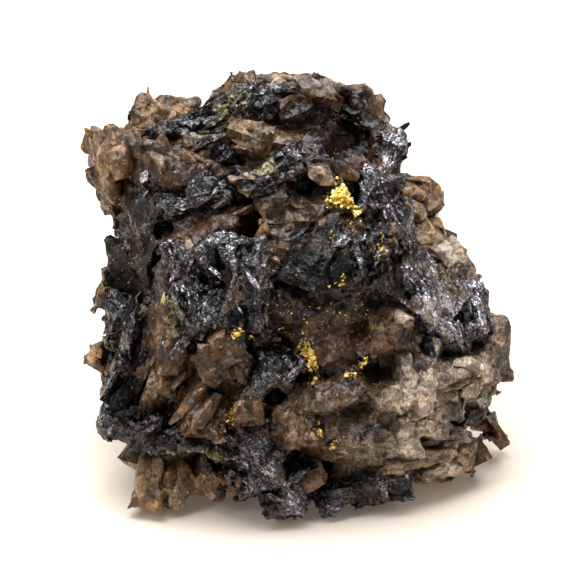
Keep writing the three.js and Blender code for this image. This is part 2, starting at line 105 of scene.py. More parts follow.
# Coloured zones of the quartz: across, rise, half width, half height, turn, strength
ZONES = {
    "pale": [
        [17.6, -6.4, 4.4, 4.6, 0, 1.0],
        [12.4, -11.0, 2.6, 3.4, -10, 0.9],
        [14.0, -14.5, 7.5, 4.0, 10, 1.0],
        [16.6, 2.6, 3.2, 2.6, 0, 0.9],
        [6.0, -11.2, 5.5, 1.4, 4, 0.35],
        [14.0, -18.6, 7.0, 2.4, 5, 1.4],
        [8.0, -16.0, 5.0, 2.0, 10, 0.25],
        [1.0, 20.8, 6.0, 1.6, -4, 0.7],
        [2.0, -13.5, 4.0, 2.0, 0, 0.15],
        [-6.0, -11.0, 2.0, 2.0, 0, 0.3],
    ],
    # Honey: partly the quartz's own honey tone, partly a painted glow standing in for light
    # shining through thin edges at the rim, as on the right-hand knob
    "honey": [
        [14.2, 9.0, 3.4, 5.5, 0, 1.1],
        [9.2, 18.6, 1.2, 3.4, 0, 1.0],
        [-19.6, 13.0, 2.4, 6.5, 8, 0.6],
        [-14.4, 19.4, 2.4, 3.0, 0, 0.45],
        [-11.6, 18.0, 3.4, 2.6, 0, 0.3],
        [-4.6, 21.4, 3.4, 1.6, 0, 0.7],
        [-12.6, -19.4, 4.6, 3.4, 0, 0.9],
        [17.0, -19.0, 5.0, 1.4, 20, 0.9],
        [-20.0, -5.8, 1.6, 2.4, 0, 0.8],
        [-19.6, -0.6, 1.4, 2.4, 0, 0.7],
        [-4.0, 15.2, 2.6, 2.2, 0, 0.7],
        [-13.8, -11.4, 2.4, 4.4, -30, 0.45],
        [-7.0, -8.0, 3.0, 3.4, 0, 0.25],
    ],
    "rust": [
        [20.6, -14.0, 1.8, 1.8, 0, 1.0],
        [7.6, 12.2, 2.4, 0.9, 0, 0.8],
        [6.2, 16.2, 2.4, 1.3, 0, 0.6],
        [2.2, -6.6, 2.2, 2.8, -20, 0.7],
        [-5.8, -12.6, 1.2, 2.0, -20, 0.9],
        [8.0, -4.6, 3.0, 1.8, 0, 0.5],
        [3.6, -15.0, 1.8, 1.4, 0, 0.6],
        [19.6, -1.2, 1.2, 2.0, 0, 0.6],
        [-8.2, 12.0, 1.0, 1.6, -30, 0.5],
    ],
    # Dark: partly the quartz's own dark tone, partly painted shade laid over hollows, as high
    # on the right
    "dark": [
        [5.4, 16.6, 4.8, 4.4, 0, 1.7],
        [-1.6, 17.0, 3.4, 2.0, 0, 0.6],
        [-15.6, 4.0, 3.8, 7.0, 0, 1.7],
        [-13.6, 8.4, 3.0, 2.6, 0, 0.6],
        [11.6, -5.2, 3.0, 3.0, 0, 0.7],
        [2.6, -1.4, 8.0, 2.4, 0, 0.6],
        [17.6, -12.6, 3.2, 1.6, 0, 0.9],
        [-1.0, -6.0, 3.6, 2.0, 0, 0.6],
        [4.0, -8.4, 6.0, 3.6, 0, 0.6],
        [6.4, -14.4, 4.0, 2.6, 0, 0.4],
        [-7.6, -7.6, 4.0, 4.6, 0, 0.35],
        [-9.6, 13.0, 4.0, 1.2, 20, 0.5],
        [-7.0, -16.8, 3.6, 1.6, 0, 0.7],
    ],
    "ochre": [
        [-5.6, 18.4, 2.4, 1.0, 45, 1.0],
        [-7.6, 16.2, 3.4, 0.7, 10, 0.9],
        [-2.4, 12.2, 1.3, 1.4, 0, 0.9],
        [-11.2, -3.0, 1.1, 2.0, -10, 1.0],
        [-16.0, -3.4, 0.7, 4.4, -18, 0.9],
        [15.2, 0.9, 2.6, 0.6, -35, 1.0],
        [13.8, -2.6, 0.8, 1.6, 0, 0.5],
        [-9.4, -16.4, 3.6, 0.8, -6, 0.8],
        [-5.2, 9.4, 1.6, 0.6, 0, 0.5],
        [8.4, -3.8, 1.0, 0.8, 0, 0.6],
    ],
}

# How the laths of each dark mass lie: their turn on the best face and their dip out of it
# in degrees, how wide a lath is in millimetres, how steep its faces are and how bright
# the mass is
LATHS = {
    "sulphide_crown": [35, 10, 0.8, 0.5, 0.3],
    "sulphide_band": [12, 0, 0.9, 0.5, 0.25],
    "sulphide_horn": [75, 10, 0.8, 0.4, 0.65],
    "sulphide_shoulder": [-58, 10, 0.7, 0.5, 0.6],
    "sulphide_heart": [62, -20, 1.9, 0.55, 0.1],
    "sulphide_vein": [-62, 0, 0.9, 0.45, 0.65],
    "sulphide_cluster": [64, 10, 1.3, 0.6, 0.42],
    "sulphide_bars": [72, 0, 1.1, 0.35, 0.2],
    "sulphide_patch": [58, 0, 1.0, 0.55, 0.3],
    "sulphide_keel": [-42, 0, 1.2, 0.5, 0.42],
    "sulphide_lens": [-30, 0, 0.9, 0.5, 0.3],
    "sulphide_back": [20, 30, 1.4, 0.5, 0.3],
    "sulphide_heel": [-20, 40, 1.4, 0.5, 0.3],
}

# Crystals listed on the best face: tone and shape, across, rise, length, width,
# thickness, turn, roll and how proud of the rock it is, in millimetres and degrees
QUARTZ_CRYSTALS = [
    ["honey lump", -17.3, 13.4, 4.8, 3.8, 3.2, 80, 0, 0.9],
    ["tan block", -13.0, 13.6, 3.8, 2.8, 2.6, -60, 0, 1.0],
    ["honey lump", -12.0, 18.0, 4.2, 2.6, 2.0, -24, 0, 0.3],
    ["brown lump", -14.3, 18.9, 4.6, 2.2, 2.0, 84, 0, 0.3],
    ["honey lump", -18.5, 12.2, 7.4, 2.2, 2.0, 100, 0, 0.1],
    ["honey slab", -18.3, 15.5, 3.4, 0.9, 1.2, 0, 0, 0.3],
    ["honey block", -4.1, 15.4, 4.6, 3.6, 2.6, -10, 0, 0.6],
    ["tan block", -4.6, 11.2, 2.9, 1.5, 1.6, 10, 0, 0.8],
    ["brown block", -9.4, 12.8, 3.4, 1.8, 1.6, -20, 0, 0.6],
    ["dark block", -10.0, 10.8, 4.4, 1.8, 1.6, -25, 0, 0.5],
    ["tan block", -10.2, 4.5, 2.9, 2.6, 2.0, 20, 0, 0.9],
    ["honey slab", -2.6, 5.4, 2.8, 1.3, 1.4, 60, 0, 0.7],
    ["brown slab", -5.0, 7.7, 4.2, 0.8, 1.2, 22, 0, 0.5],
    ["ochre slab", -10.9, -2.8, 2.4, 0.9, 1.2, 72, 0, 0.7],
    ["ochre block", -12.3, -1.0, 2.5, 1.6, 1.4, 80, 0, 0.7],
    ["tan slab", -13.4, -10.4, 9.4, 2.6, 2.6, 53, 18, 3.6],
    ["brown slab", -10.9, -8.9, 5.4, 1.3, 1.8, 50, -10, 1.6],
    ["brown slab", -8.2, -11.9, 6.4, 2.0, 2.2, 50, 6, 1.4],
    ["brown slab", -9.6, -10.8, 6.4, 1.4, 2.0, 54, 6, 1.6],
    ["brown slab", -6.4, -7.9, 3.4, 1.2, 1.4, -60, 0, 0.1],
    ["brown slab", -4.9, -8.2, 3.0, 1.1, 1.4, -70, 0, 0.1],
    ["brown slab", -4.9, -11.0, 2.6, 1.2, 1.4, 60, 0, 0.5],
    ["brown slab", -7.2, -5.0, 3.4, 1.6, 1.6, 50, 0, 0.8],
    ["white block", -1.4, -10.9, 2.2, 1.7, 1.6, -20, 20, 1.8],
    ["brown slab", -12.9, -4.0, 4.0, 1.2, 1.2, -75, 0, 0.5],
    ["tan slab", -13.2, -6.6, 2.4, 0.7, 1.0, 50, 0, 0.7],
    ["tan block", 7.0, 0.6, 1.9, 1.4, 1.4, 10, 0, 0.6],
    ["tan block", -0.2, 1.2, 2.6, 2.2, 1.6, 0, 0, 0.6],
    ["tan block", -1.4, 3.0, 2.2, 1.0, 1.2, -15, 0, 0.6],
    ["brown slab", 1.0, -13.6, 3.6, 1.6, 1.6, 70, 0, 0.2],
    ["pale slab", 11.2, -2.9, 2.8, 1.5, 1.6, -20, 0, 1.8],
    ["white block", 11.5, -8.0, 7.0, 2.8, 2.8, -76, 0, 1.4],
    ["pale block", 16.4, 3.2, 5.6, 4.2, 2.6, -30, 0, 0.6],
    ["tan slab", 14.4, 3.4, 3.6, 1.2, 1.4, -25, 0, 0.7],
    ["tan block", 19.3, -5.0, 2.6, 2.0, 1.8, -30, 0, 0.6],
    ["rust block", 19.9, -3.2, 1.8, 1.6, 1.4, 60, 0, 0.4],
    ["white slab", 17.9, -7.4, 3.6, 1.3, 1.4, -20, 0, 1.8],
    ["pale block", 17.6, -9.8, 4.4, 3.2, 2.6, -35, 0, 1.2],
    ["tan block", 16.0, -8.6, 3.4, 2.8, 2.0, 20, 0, 0.6],
    ["pale block", 13.2, -10.6, 5.0, 3.0, 2.6, 84, 0, 1.2],
    ["pale block", 9.8, -10.4, 2.6, 2.0, 1.8, 10, 0, 0.8],
    ["pale slab", 12.4, -12.8, 4.2, 1.4, 1.6, -15, 0, 0.7],
    ["tan block", 15.2, -11.2, 2.6, 2.4, 1.8, 0, 0, 0.6],
    ["dark block", 18.2, -12.3, 3.6, 2.6, 2.4, -10, 0, 0.9],
    ["rust block", 19.4, -13.8, 2.0, 1.8, 1.6, 0, 0, 0.3],
    ["white slab", 16.4, -14.7, 3.6, 1.1, 1.6, -12, 0, 2.0],
    ["tan slab", 17.4, -16.4, 3.4, 2.4, 1.8, 10, 0, 0.6],
    ["tan slab", 13.0, -15.2, 8.4, 1.4, 1.8, 12, 12, 0.8],
    ["tan slab", 12.4, -17.0, 8.8, 1.7, 2.0, 8, 6, 0.7],
    ["pale slab", 14.4, -19.0, 4.6, 1.6, 1.6, 8, 0, 0.8],
    ["pale slab", 9.6, -18.0, 5.2, 1.6, 1.8, 5, 0, 1.4],
    ["brown block", 5.4, -18.4, 5.0, 2.4, 2.0, 16, 0, 0.8],
    ["brown block", 8.8, -19.2, 5.0, 2.2, 2.0, 6, 0, 0.8],
    ["brown block", 2.6, -19.8, 4.0, 2.0, 1.8, 30, 0, 0.8],
    ["amber lump", -15.6, -18.6, 5.4, 2.0, 2.0, 88, 0, 0.6],
    ["tan block", -15.6, -15.8, 1.8, 1.4, 1.4, 88, 0, 0.4],
    ["honey lump", -14.0, -20.6, 3.2, 1.8, 1.8, 0, 0, 0.4],
    ["tan lump", -13.4, -18.0, 4.0, 1.7, 1.6, 80, 0, 0.6],
    ["brown lump", -12.0, -19.0, 3.4, 1.7, 1.5, 75, 0, 0.5],
    ["tan lump", -10.3, -19.4, 3.0, 2.0, 1.6, 95, 0, 0.4],
    ["amber lump", -8.7, -19.6, 2.4, 1.7, 1.6, 100, 0, 0.4],
    ["brown slab", -6.6, -18.9, 3.0, 1.5, 1.5, -40, 0, 0.5],
    ["lilac slab", 1.6, 21.0, 4.4, 1.9, 1.6, -10, 0, 0.3],
    ["lilac block", -1.0, 20.8, 3.4, 2.2, 1.6, 6, 0, 0.3],
    ["tan block", -3.4, 21.2, 2.8, 2.2, 1.6, 10, 0, 0.3],
    ["tan block", -5.5, 20.2, 2.6, 2.0, 1.6, 40, 0, 0.3],
    ["brown block", 5.2, 20.2, 3.0, 2.2, 1.6, -24, 0, 0.3],
    ["brown block", 8.0, 19.6, 2.4, 2.1, 1.6, 0, 0, 0.3],
    ["tan block", 9.5, 18.0, 2.8, 1.6, 1.4, -60, 0, 0.3],
    ["honey slab", -19.6, 14.0, 5.4, 1.5, 1.4, 99, 0, 0.3],
    ["tan block", -4.2, 21.3, 2.8, 1.7, 1.4, -20, 0, 0.4],
    ["honey block", -5.7, 20.0, 1.8, 1.6, 1.4, 70, 0, 0.2],
    ["brown lump", 3.8, 20.6, 3.8, 1.7, 1.6, -20, 0, 0.3],
    ["dark block", 0.8, 18.4, 4.2, 3.0, 2.0, 20, 0, 0.4],
    ["dark lump", -1.4, 17.0, 2.6, 2.0, 1.8, -20, 0, 0.2],
    ["white slab", 8.8, 18.2, 3.0, 1.0, 1.2, 88, 0, 0.2],
    ["tan block", 7.2, 19.8, 2.2, 1.2, 1.2, -10, 0, 0.2],
    ["brown block", 2.4, 14.9, 1.4, 1.2, 1.2, 10, 0, 0.3],
    ["brown block", 5.5, 11.6, 2.8, 2.0, 1.6, -20, 0, 0.8],
    ["tan block", 3.2, 11.3, 2.8, 2.0, 1.4, 0, 0, 0.8],
    ["amber lump", 12.6, 11.0, 4.2, 2.2, 2.0, -15, 0, 0.5],
    ["amber lump", 14.3, 9.0, 2.2, 2.8, 1.8, 80, 0, 0.4],
    ["honey lump", 14.5, 6.0, 1.6, 2.9, 1.8, 85, 0, 0.4],
    ["tan lump", 12.6, 8.0, 2.6, 3.2, 2.0, 70, 0, 0.4],
    ["tan slab", 10.3, 5.8, 2.9, 1.5, 1.5, -62, 0, 0.8],
    ["honey block", -19.2, -5.8, 1.8, 1.4, 1.4, 70, 0, 0.2],
    ["honey block", -18.8, -0.8, 2.2, 1.2, 1.4, 80, 0, 0.2],
]

SULPHIDE_CRYSTALS = [
    ["grey slab", -11.0, 15.2, 4.4, 1.5, 1.4, 6, 0, 1.0],
    ["grey slab", -9.4, 16.8, 4.0, 1.3, 1.3, 22, 0, 0.9],
    ["grey slab", -8.8, 17.9, 3.0, 0.9, 1.0, 15, 0, 0.6],
    ["grey slab", -12.2, 16.1, 2.8, 1.2, 1.2, 35, 0, 0.7],
    ["olive slab", -5.8, 18.6, 4.8, 0.8, 1.0, 43, 0, 0.9],
    ["olive slab", -7.3, 17.0, 3.8, 0.7, 1.0, 38, 0, 0.8],
    ["olive slab", -8.0, 15.8, 3.6, 0.6, 0.9, 4, 0, 0.9],
    ["grey slab", -3.4, 19.0, 3.8, 1.8, 1.4, 30, 0, 0.7],
    ["grey slab", -2.4, 17.8, 2.6, 1.6, 1.3, -30, 0, 0.6],
    ["bright slab", -5.2, 17.3, 1.3, 0.7, 0.8, 50, 0, 1.0],
    ["grey slab", -1.6, 20.2, 4.8, 1.1, 1.2, 10, 0, 0.6],
    ["black slab", -6.8, 15.6, 2.0, 1.2, 1.2, -50, 0, 0.4],
    ["bright block", -14.4, 11.7, 1.9, 1.4, 1.4, 30, 0, 0.9],
    ["grey block", -16.4, 7.3, 1.8, 1.6, 1.4, 40, 0, 0.8],
    ["grey slab", -14.8, 9.2, 3.6, 1.4, 1.4, 60, 0, 0.7],
    ["black slab", -13.2, 8.4, 3.0, 1.6, 1.4, -70, 0, 0.6],
    ["bright slab", -7.4, 9.8, 3.0, 0.8, 0.9, 40, 0, 1.0],
    ["grey slab", -6.6, 8.7, 3.0, 0.9, 1.0, 35, 0, 0.9],
    ["black slab", -4.4, 9.4, 2.8, 1.4, 1.2, 15, 0, 0.8],
    ["grey slab", -2.8, 10.8, 2.2, 1.0, 1.0, 10, 0, 0.8],
    ["grey slab", -10.4, 8.2, 3.4, 1.1, 1.0, 18, 0, 0.7],
    ["grey slab", 0.4, 13.2, 3.2, 1.3, 1.2, -25, 0, 0.9],
    ["grey slab", -0.2, 11.4, 2.6, 1.0, 1.0, 10, 0, 0.8],
    ["grey block", -6.4, 4.9, 4.2, 1.6, 1.4, -4, 0, 0.8],
    ["grey slab", -11.2, 1.6, 3.3, 1.5, 1.4, 78, 0, 0.8],
    ["grey slab", -12.4, 4.4, 2.4, 1.2, 1.2, 40, 0, 0.7],
    ["black slab", -7.6, 3.3, 2.2, 1.6, 1.4, -30, 0, 0.7],
    ["black slab", -5.3, 3.2, 2.0, 1.4, 1.3, 20, 0, 0.7],
    ["black slab", -8.5, 1.3, 3.6, 1.6, 1.5, -42, 0, 0.6],
    ["bright slab", -7.1, 1.6, 3.0, 0.5, 0.9, -42, 0, 1.2],
    ["grey slab", -9.6, -1.6, 4.0, 1.2, 1.3, -80, 0, 1.0],
    ["bright slab", -3.9, 1.2, 3.2, 0.5, 0.8, -48, 0, 1.0],
    ["black slab", -5.4, 0.6, 3.2, 1.4, 1.3, -50, 0, 0.6],
    ["grey slab", -5.0, -1.8, 2.8, 0.6, 0.8, -50, 0, 0.8],
    ["olive slab", -15.5, -2.0, 4.4, 0.6, 1.8, 74, 0, 2.6],
    ["olive slab", -16.7, -5.4, 5.0, 0.5, 1.8, 75, 0, 2.6],
    ["grey slab", -15.9, -5.0, 7.4, 1.1, 2.0, 74, 0, 2.2],
    ["black slab", -14.9, -5.6, 7.0, 1.3, 2.0, 76, 0, 1.2],
    ["grey slab", -17.6, -9.2, 4.6, 0.9, 1.6, 62, 0, 1.6],
    ["black slab", -16.6, -11.4, 5.0, 2.6, 2.2, 76, 0, 0.7],
    ["grey slab", -17.6, -4.6, 3.4, 1.4, 1.4, 70, 0, 0.6],
    ["grey slab", -17.2, -0.8, 3.0, 1.4, 1.4, -50, 0, 0.5],
    ["black slab", -13.4, -13.7, 4.6, 2.0, 2.0, 35, 0, 0.7],
    ["black slab", -17.2, -13.5, 4.0, 1.8, 2.0, -35, 0, 0.5],
    ["grey slab", -11.0, -5.4, 3.8, 2.0, 1.7, 25, 0, 0.8],
    ["black slab", -11.6, -10.6, 4.0, 1.0, 1.6, 52, 0, 0.4],
    ["grey slab", -11.3, -12.2, 1.8, 1.0, 1.4, 20, 0, 0.6],
    ["black block", 2.2, 3.0, 7.4, 6.2, 4.2, -20, 0, 3.4],
    ["black slab", 1.2, 5.7, 5.4, 1.3, 1.4, 28, 0, 0.9],
    ["grey slab", 5.2, 4.6, 3.0, 1.5, 1.5, 55, 0, 1.6],
    ["grey slab", 6.6, 3.4, 4.0, 0.9, 1.4, -75, 0, 1.2],
    ["bright slab", 7.5, 4.9, 1.6, 1.2, 1.2, -20, 0, 1.0],
    ["black block", 4.9, 2.0, 4.0, 3.0, 2.6, 40, 0, 1.8],
    ["black slab", 7.8, 2.4, 2.6, 1.8, 1.6, -60, 0, 0.7],
    ["grey slab", 7.6, 10.6, 3.4, 1.1, 1.2, -55, 0, 0.8],
    ["grey slab", 9.2, 9.2, 3.6, 1.0, 1.1, -58, 0, 0.8],
    ["grey slab", 9.6, 7.0, 2.6, 0.8, 1.0, -60, 0, 0.7],
    ["grey slab", 10.1, 3.6, 4.4, 1.2, 1.3, -57, 0, 0.9],
    ["grey slab", 11.3, 0.8, 5.2, 1.4, 1.4, -57, 0, 0.9],
    ["bright slab", 14.0, -0.7, 4.6, 0.5, 0.9, -56, 0, 1.0],
    ["grey slab", 12.7, -0.2, 5.0, 0.8, 1.0, -58, 0, 0.9],
    ["bright slab", 11.2, -1.1, 2.0, 0.7, 0.9, -60, 0, 0.9],
    ["black slab", 14.3, -3.4, 4.2, 1.2, 1.4, -70, 0, 0.6],
    ["black slab", 13.6, -5.6, 3.2, 1.6, 1.6, -80, 0, 0.6],
    ["grey slab", 17.5, -2.2, 5.4, 1.6, 1.6, -80, 0, 0.9],
    ["grey slab", 18.6, -3.2, 4.4, 0.9, 1.4, -74, 0, 0.8],
    ["bright slab", 17.7, -5.1, 1.7, 0.8, 0.9, -15, 0, 0.9],
    ["olive slab", 15.3, 0.8, 4.6, 0.8, 1.0, -35, 0, 0.9],
    ["grey slab", 16.2, 1.5, 3.6, 0.6, 0.9, -38, 0, 0.9],
    ["bright slab", 9.6, 14.2, 3.0, 0.8, 1.0, 82, 0, 0.3],
    ["grey slab", -0.2, -7.2, 2.3, 0.8, 0.9, -55, 0, 0.6],
    ["black slab", -1.8, -6.5, 2.6, 1.4, 1.3, -50, 0, 0.7],
    ["grey slab", -1.5, -8.4, 2.6, 1.2, 1.2, -45, 0, 0.8],
    ["grey slab", -3.1, -9.6, 4.0, 1.0, 1.2, -78, 0, 0.7],
    ["olive slab", -5.7, -17.7, 6.2, 0.8, 1.2, -46, 0, 1.0],
    ["grey slab", -4.8, -16.8, 5.8, 0.9, 1.1, -47, 0, 0.9],
    ["black slab", -3.2, -14.4, 4.2, 1.8, 1.6, -60, 0, 0.7],
    ["grey slab", -5.8, -14.7, 3.2, 1.3, 1.3, -45, 0, 0.7],
    ["grey slab", -2.0, -17.0, 3.2, 1.6, 1.4, 20, 0, 0.5],
    ["grey slab", 0.4, -18.5, 5.0, 1.1, 1.3, 38, 0, 0.8],
    ["grey slab", -1.4, -20.4, 3.4, 1.2, 1.4, -30, 0, 0.4],
    ["grey slab", 7.4, -14.2, 3.6, 0.7, 1.0, 44, 0, 0.4],
    ["olive slab", -11.4, -16.1, 3.6, 0.7, 0.9, -28, 0, 0.8],
]

# What the crystals' tones mean for the materials
TONES = {
    "brown": {"brown": 1.0},
    "tan": {"brown": 1.0, "pale": 0.36, "honey": 0.2},
    "pale": {"brown": 1.0, "pale": 0.85},
    "white": {"brown": 1.0, "pale": 1.3},
    # Painted sheen on the crystals at the top rim
    "lilac": {"brown": 1.0, "lilac": 1.0},
    "honey": {"brown": 1.0, "honey": 0.75},
    "amber": {"brown": 1.0, "honey": 0.85, "pale": 0.3},
    "rust": {"brown": 1.0, "rust": 0.8},
    "dark": {"dark": 0.6},
    "ochre": {"ochre": 0.9},
    "olive": {"ochre": 0.55, "bright": 0.5},
    "black": {"bright": 0.0},
    "grey": {"bright": 0.5},
    "bright": {"bright": 1.0},
}

# Sprays of gold specks on the rock: across, rise, half width, half height, number, size
GOLD_SPRAYS = [
    [4.8, 9.6, 1.0, 1.2, 50, 0.32],
    [5.8, 8.0, 0.9, 0.5, 30, 0.24],
    [6.2, 6.8, 0.9, 1.0, 12, 0.16],
    [4.0, 4.9, 0.5, 1.0, 16, 0.2],
    [5.8, 6.0, 0.5, 0.7, 8, 0.18],
    [8.9, 4.2, 0.6, 1.6, 40, 0.2],
    [4.4, 0.5, 1.0, 0.3, 14, 0.18],
    [5.2, 1.1, 0.3, 0.8, 12, 0.16],
    [1.4, -5.6, 0.8, 0.6, 40, 0.26],
    [2.1, -7.0, 0.5, 1.0, 40, 0.26],
    [2.6, -9.0, 0.6, 0.3, 10, 0.18],
    [7.2, -7.1, 0.4, 0.5, 12, 0.24],
    [6.0, -8.4, 0.6, 0.3, 12, 0.2],
    [-5.1, -4.4, 0.5, 0.4, 16, 0.28],
    [-3.8, -4.7, 0.4, 0.25, 10, 0.2],
    [-5.5, -11.4, 0.4, 1.1, 20, 0.2],
    [-5.8, -12.6, 0.5, 0.6, 20, 0.26],
    [-7.0, -13.9, 0.8, 0.3, 10, 0.16],
    [2.8, -12.9, 0.4, 0.3, 8, 0.2],
    [2.8, -13.9, 0.3, 0.3, 12, 0.26],
    [4.4, -15.0, 0.5, 0.6, 10, 0.2],
    [2.0, -2.0, 4.4, 2.0, 60, 0.15],
    [0.6, -4.4, 3.4, 1.6, 34, 0.15],
    [6.0, -3.0, 3.6, 2.0, 30, 0.13],
]

QUARTZ = "quartz_matrix"
SULPHIDES = sorted(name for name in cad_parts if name.startswith("sulphide"))
GOLDS = sorted(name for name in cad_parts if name.startswith("gold"))


def to_layout(points):
    return (points - LAYOUT_MIDDLE) @ LAYOUT.T


def from_layout(places):
    return np.asarray(places, float) @ LAYOUT + LAYOUT_MIDDLE


def smooth_step(values, low, high):
    """0 below low, 1 above high, and a smooth step between."""
    share = np.clip((values - low) / (high - low), 0, 1)
    return share * share * (3 - 2 * share)


def unit(vectors):
    return vectors / np.linalg.norm(vectors, axis=-1, keepdims=True)


# Repeatable random fields over space

# Large odd numbers that scramble a cell's place and the seed
CELL_PRIMES = (73856093, 19349663, 83492791)
SEED_PRIME = 40503
MIX_FACTOR = 1274126177
MIX_STEP = 12345
BITS_16 = 0xFFFF
BITS_24 = 0xFFFFFF
BITS_32 = 0xFFFFFFFF

# A broken face reaches this share of its cell's size, and gives way this fast beyond it
FACE_REACH = 0.75
FACE_FALL = 18


def hashed(cells, seed, count=3):
    """Count numbers from 0 to 1 for each whole-numbered cell, the same every time."""
    across, along, up = (cells.astype(np.int64) & BITS_16).T
    state = across * CELL_PRIMES[0] ^ along * CELL_PRIMES[1] ^ up * CELL_PRIMES[2]
    state = (state ^ (seed * SEED_PRIME)) & BITS_32
    numbers = []
    for _ in range(count):
        state = ((state ^ (state >> 13)) * MIX_FACTOR + MIX_STEP) & BITS_32
        state = state ^ (state >> 16)
        numbers.append((state & BITS_24) / (BITS_24 + 1))
    return np.stack(numbers, 1)


def drift(points, size, seed):
    """A smooth random push, -1 to 1 along each axis, that changes over about size."""
    place = points / size
    base = np.floor(place)
    share = place - base
    share = share * share * (3 - 2 * share)
    total = np.zeros_like(points)
    for corner in itertools.product((0, 1), repeat=3):
        weight = np.prod(np.where(corner, share, 1 - share), axis=1)
        total += weight[:, None] * (hashed(base + corner, seed) * 2 - 1)
    return total


def ledges(points, size, lean, seed):
    """How far each point stands out on flat broken faces about size across.

    Every cell of a jittered grid has one tilted plane, and the lowest plane near a point is
    the one that shows, so the faces meet in sharp edges.
    """
    base = np.floor(points / size)
    lowest = np.full(len(points), np.inf)
    for offset in itertools.product((-1, 0, 1), repeat=3):
        cell = base + offset
        pick = hashed(cell, seed, count=7)
        away = points - (cell + pick[:, :3]) * size
        plane = np.einsum("ij,ij->i", away, pick[:, 3:6] * 2 - 1)
        plane += (pick[:, 6] - 0.5) * size
        beyond = np.maximum(np.linalg.norm(away, axis=1) - FACE_REACH * size, 0)
        lowest = np.minimum(lowest, (plane + FACE_FALL / size * beyond ** 2) * lean)
    return lowest - lowest.mean()


# Meshes

SEAM = 1e-3  # vertices nearer than this are one
MOST_SHELL = 1.8  # how much farther a sharp corner may move than a flat face


def linked(name, data):
    """A new object in the scene for a mesh, a light or a camera."""
    holder = bpy.data.objects.new(name, data)
    bpy.context.scene.collection.objects.link(holder)
    return holder


def cad_solid(names, grow=0.0):
    """Copies of CAD solids as one merged bmesh in millimetres, moved out by about grow."""
    solid = bmesh.new()
    for name in names:
        solid.from_mesh(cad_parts[name].data)
    bmesh.ops.scale(solid, vec=(1 / MM,) * 3, verts=solid.verts)
    bmesh.ops.remove_doubles(solid, verts=solid.verts, dist=SEAM)
    solid.normal_update()
    moves = [
        vert.normal * grow * min(vert.calc_shell_factor(), MOST_SHELL) for vert in solid.verts
    ]
    for vert, move in zip(solid.verts, moves):
        vert.co += move
    return solid


def to_mesh(solid, name):
    mesh = bpy.data.meshes.new(name)
    solid.to_mesh(mesh)
    solid.free()
    return mesh


def modified(mesh, kind, **settings):
    """A copy of a mesh with one modifier applied."""
    holder = linked("holder", mesh)
    modifier = holder.modifiers.new("modifier", kind)
    for key, value in settings.items():
        setattr(modifier, key, value)
    graph = bpy.context.evaluated_depsgraph_get()
    result = bpy.data.meshes.new_from_object(holder.evaluated_get(graph))
    bpy.data.objects.remove(holder)
    return result


def remeshed(mesh, grain):
    """One closed skin around a mesh, with vertices about grain apart."""
    return modified(mesh, "REMESH", mode="VOXEL", voxel_size=grain)


def decimated(mesh, share):
    """The same skin with fewer triangles where it is flat."""
    return modified(mesh, "DECIMATE", ratio=share)


def vectors_of(mesh, field):
    vectors = np.zeros(len(mesh.vertices) * 3)
    mesh.vertices.foreach_get(field, vectors)
    return vectors.reshape(-1, 3)


def places_of(mesh):
    return vectors_of(mesh, "co")


def normals_of(mesh):
    return vectors_of(mesh, "normal")


def areas_of(mesh):
    """The area around each vertex."""
    sides = np.zeros(len(mesh.polygons), dtype=np.int32)
    sizes = np.zeros(len(mesh.polygons))
    corners = np.zeros(len(mesh.loops), dtype=np.int32)
    mesh.polygons.foreach_get("loop_total", sides)
    mesh.polygons.foreach_get("area", sizes)
    mesh.loops.foreach_get("vertex_index", corners)
    areas = np.zeros(len(mesh.vertices))
    np.add.at(areas, corners, np.repeat(sizes / sides, sides))
    return areas


def set_places(mesh, places):
    """Moves the vertices, and keeps them out of the floor."""
    places[:, 2] = np.maximum(places[:, 2], 0)
    mesh.vertices.foreach_set("co", places.astype(np.float32).ravel())
    mesh.update()


def set_values(mesh, **values):
    """Named numbers, or triples of numbers, on the vertices for the materials to read."""
    for name, numbers in values.items():
        kind, field = ("FLOAT", "value") if numbers.ndim == 1 else ("FLOAT_VECTOR", "vector")
        attribute = mesh.attributes.get(name) or mesh.attributes.new(name, kind, "POINT")
        attribute.data.foreach_set(field, numbers.astype(np.float32).ravel())


def values_of(mesh):
    values = {}
    for attribute in mesh.attributes:
        if attribute.data_type == "FLOAT":
            numbers = np.zeros(len(mesh.vertices))
            attribute.data.foreach_get("value", numbers)
            values[attribute.name] = numbers
    return values


def tree_of(*meshes):
    solid = bmesh.new()
    for mesh in meshes:
        solid.from_mesh(mesh)
    tree = BVHTree.FromBMesh(solid)
    solid.free()
    return tree


def gaps_to(tree, points):
    return np.array([tree.find_nearest(point)[3] for point in points])


def rays_around(normals, lean, count):
    """For each vertex, count directions in a ring that leans away from its normal."""
    side = unit(np.cross(normals, [0.3, 0.5, 0.8]))
    up = np.cross(normals, side)
    rays = []
    for i in range(count):
        angle = math.tau * i / count
        ring = side * math.cos(angle) + up * math.sin(angle)
        rays.append(normals * math.cos(lean) + ring * math.sin(lean))
    return rays


def clearance(tree, places, rays, most):
    """How far, up to most, the rock lets each vertex see along its rays, on average."""
    total = np.zeros(len(places))
    for ray in rays:
        begin = places + ray * RAY_START
        for i, (place, direction) in enumerate(zip(begin, ray)):
            gap = tree.ray_cast(place, direction, most)[3]
            total[i] += most if gap is None else gap
    return total / len(rays)


def zone_values(places):
    """How strongly each coloured zone covers each place. Zones fade towards the back."""
    layout = to_layout(places) + drift(places, size=1.6, seed=91) * 0.7
    shown = smooth_step(layout[:, 2], *ZONE_FADE)
    values = {}
    for name, spots in ZONES.items():
        value = np.zeros(len(places))
        for across, rise, half_width, half_height, turn, strength in spots:
            angle = math.radians(turn)
            side = layout[:, 0] - across
            up = layout[:, 1] - rise
            along = (side * math.cos(angle) + up * math.sin(angle)) / half_width
            beside = (up * math.cos(angle) - side * math.sin(angle)) / half_height
            value += strength * np.exp(-(along ** 2 + beside ** 2) ** 1.5)
        values[name] = value * shown
    return values


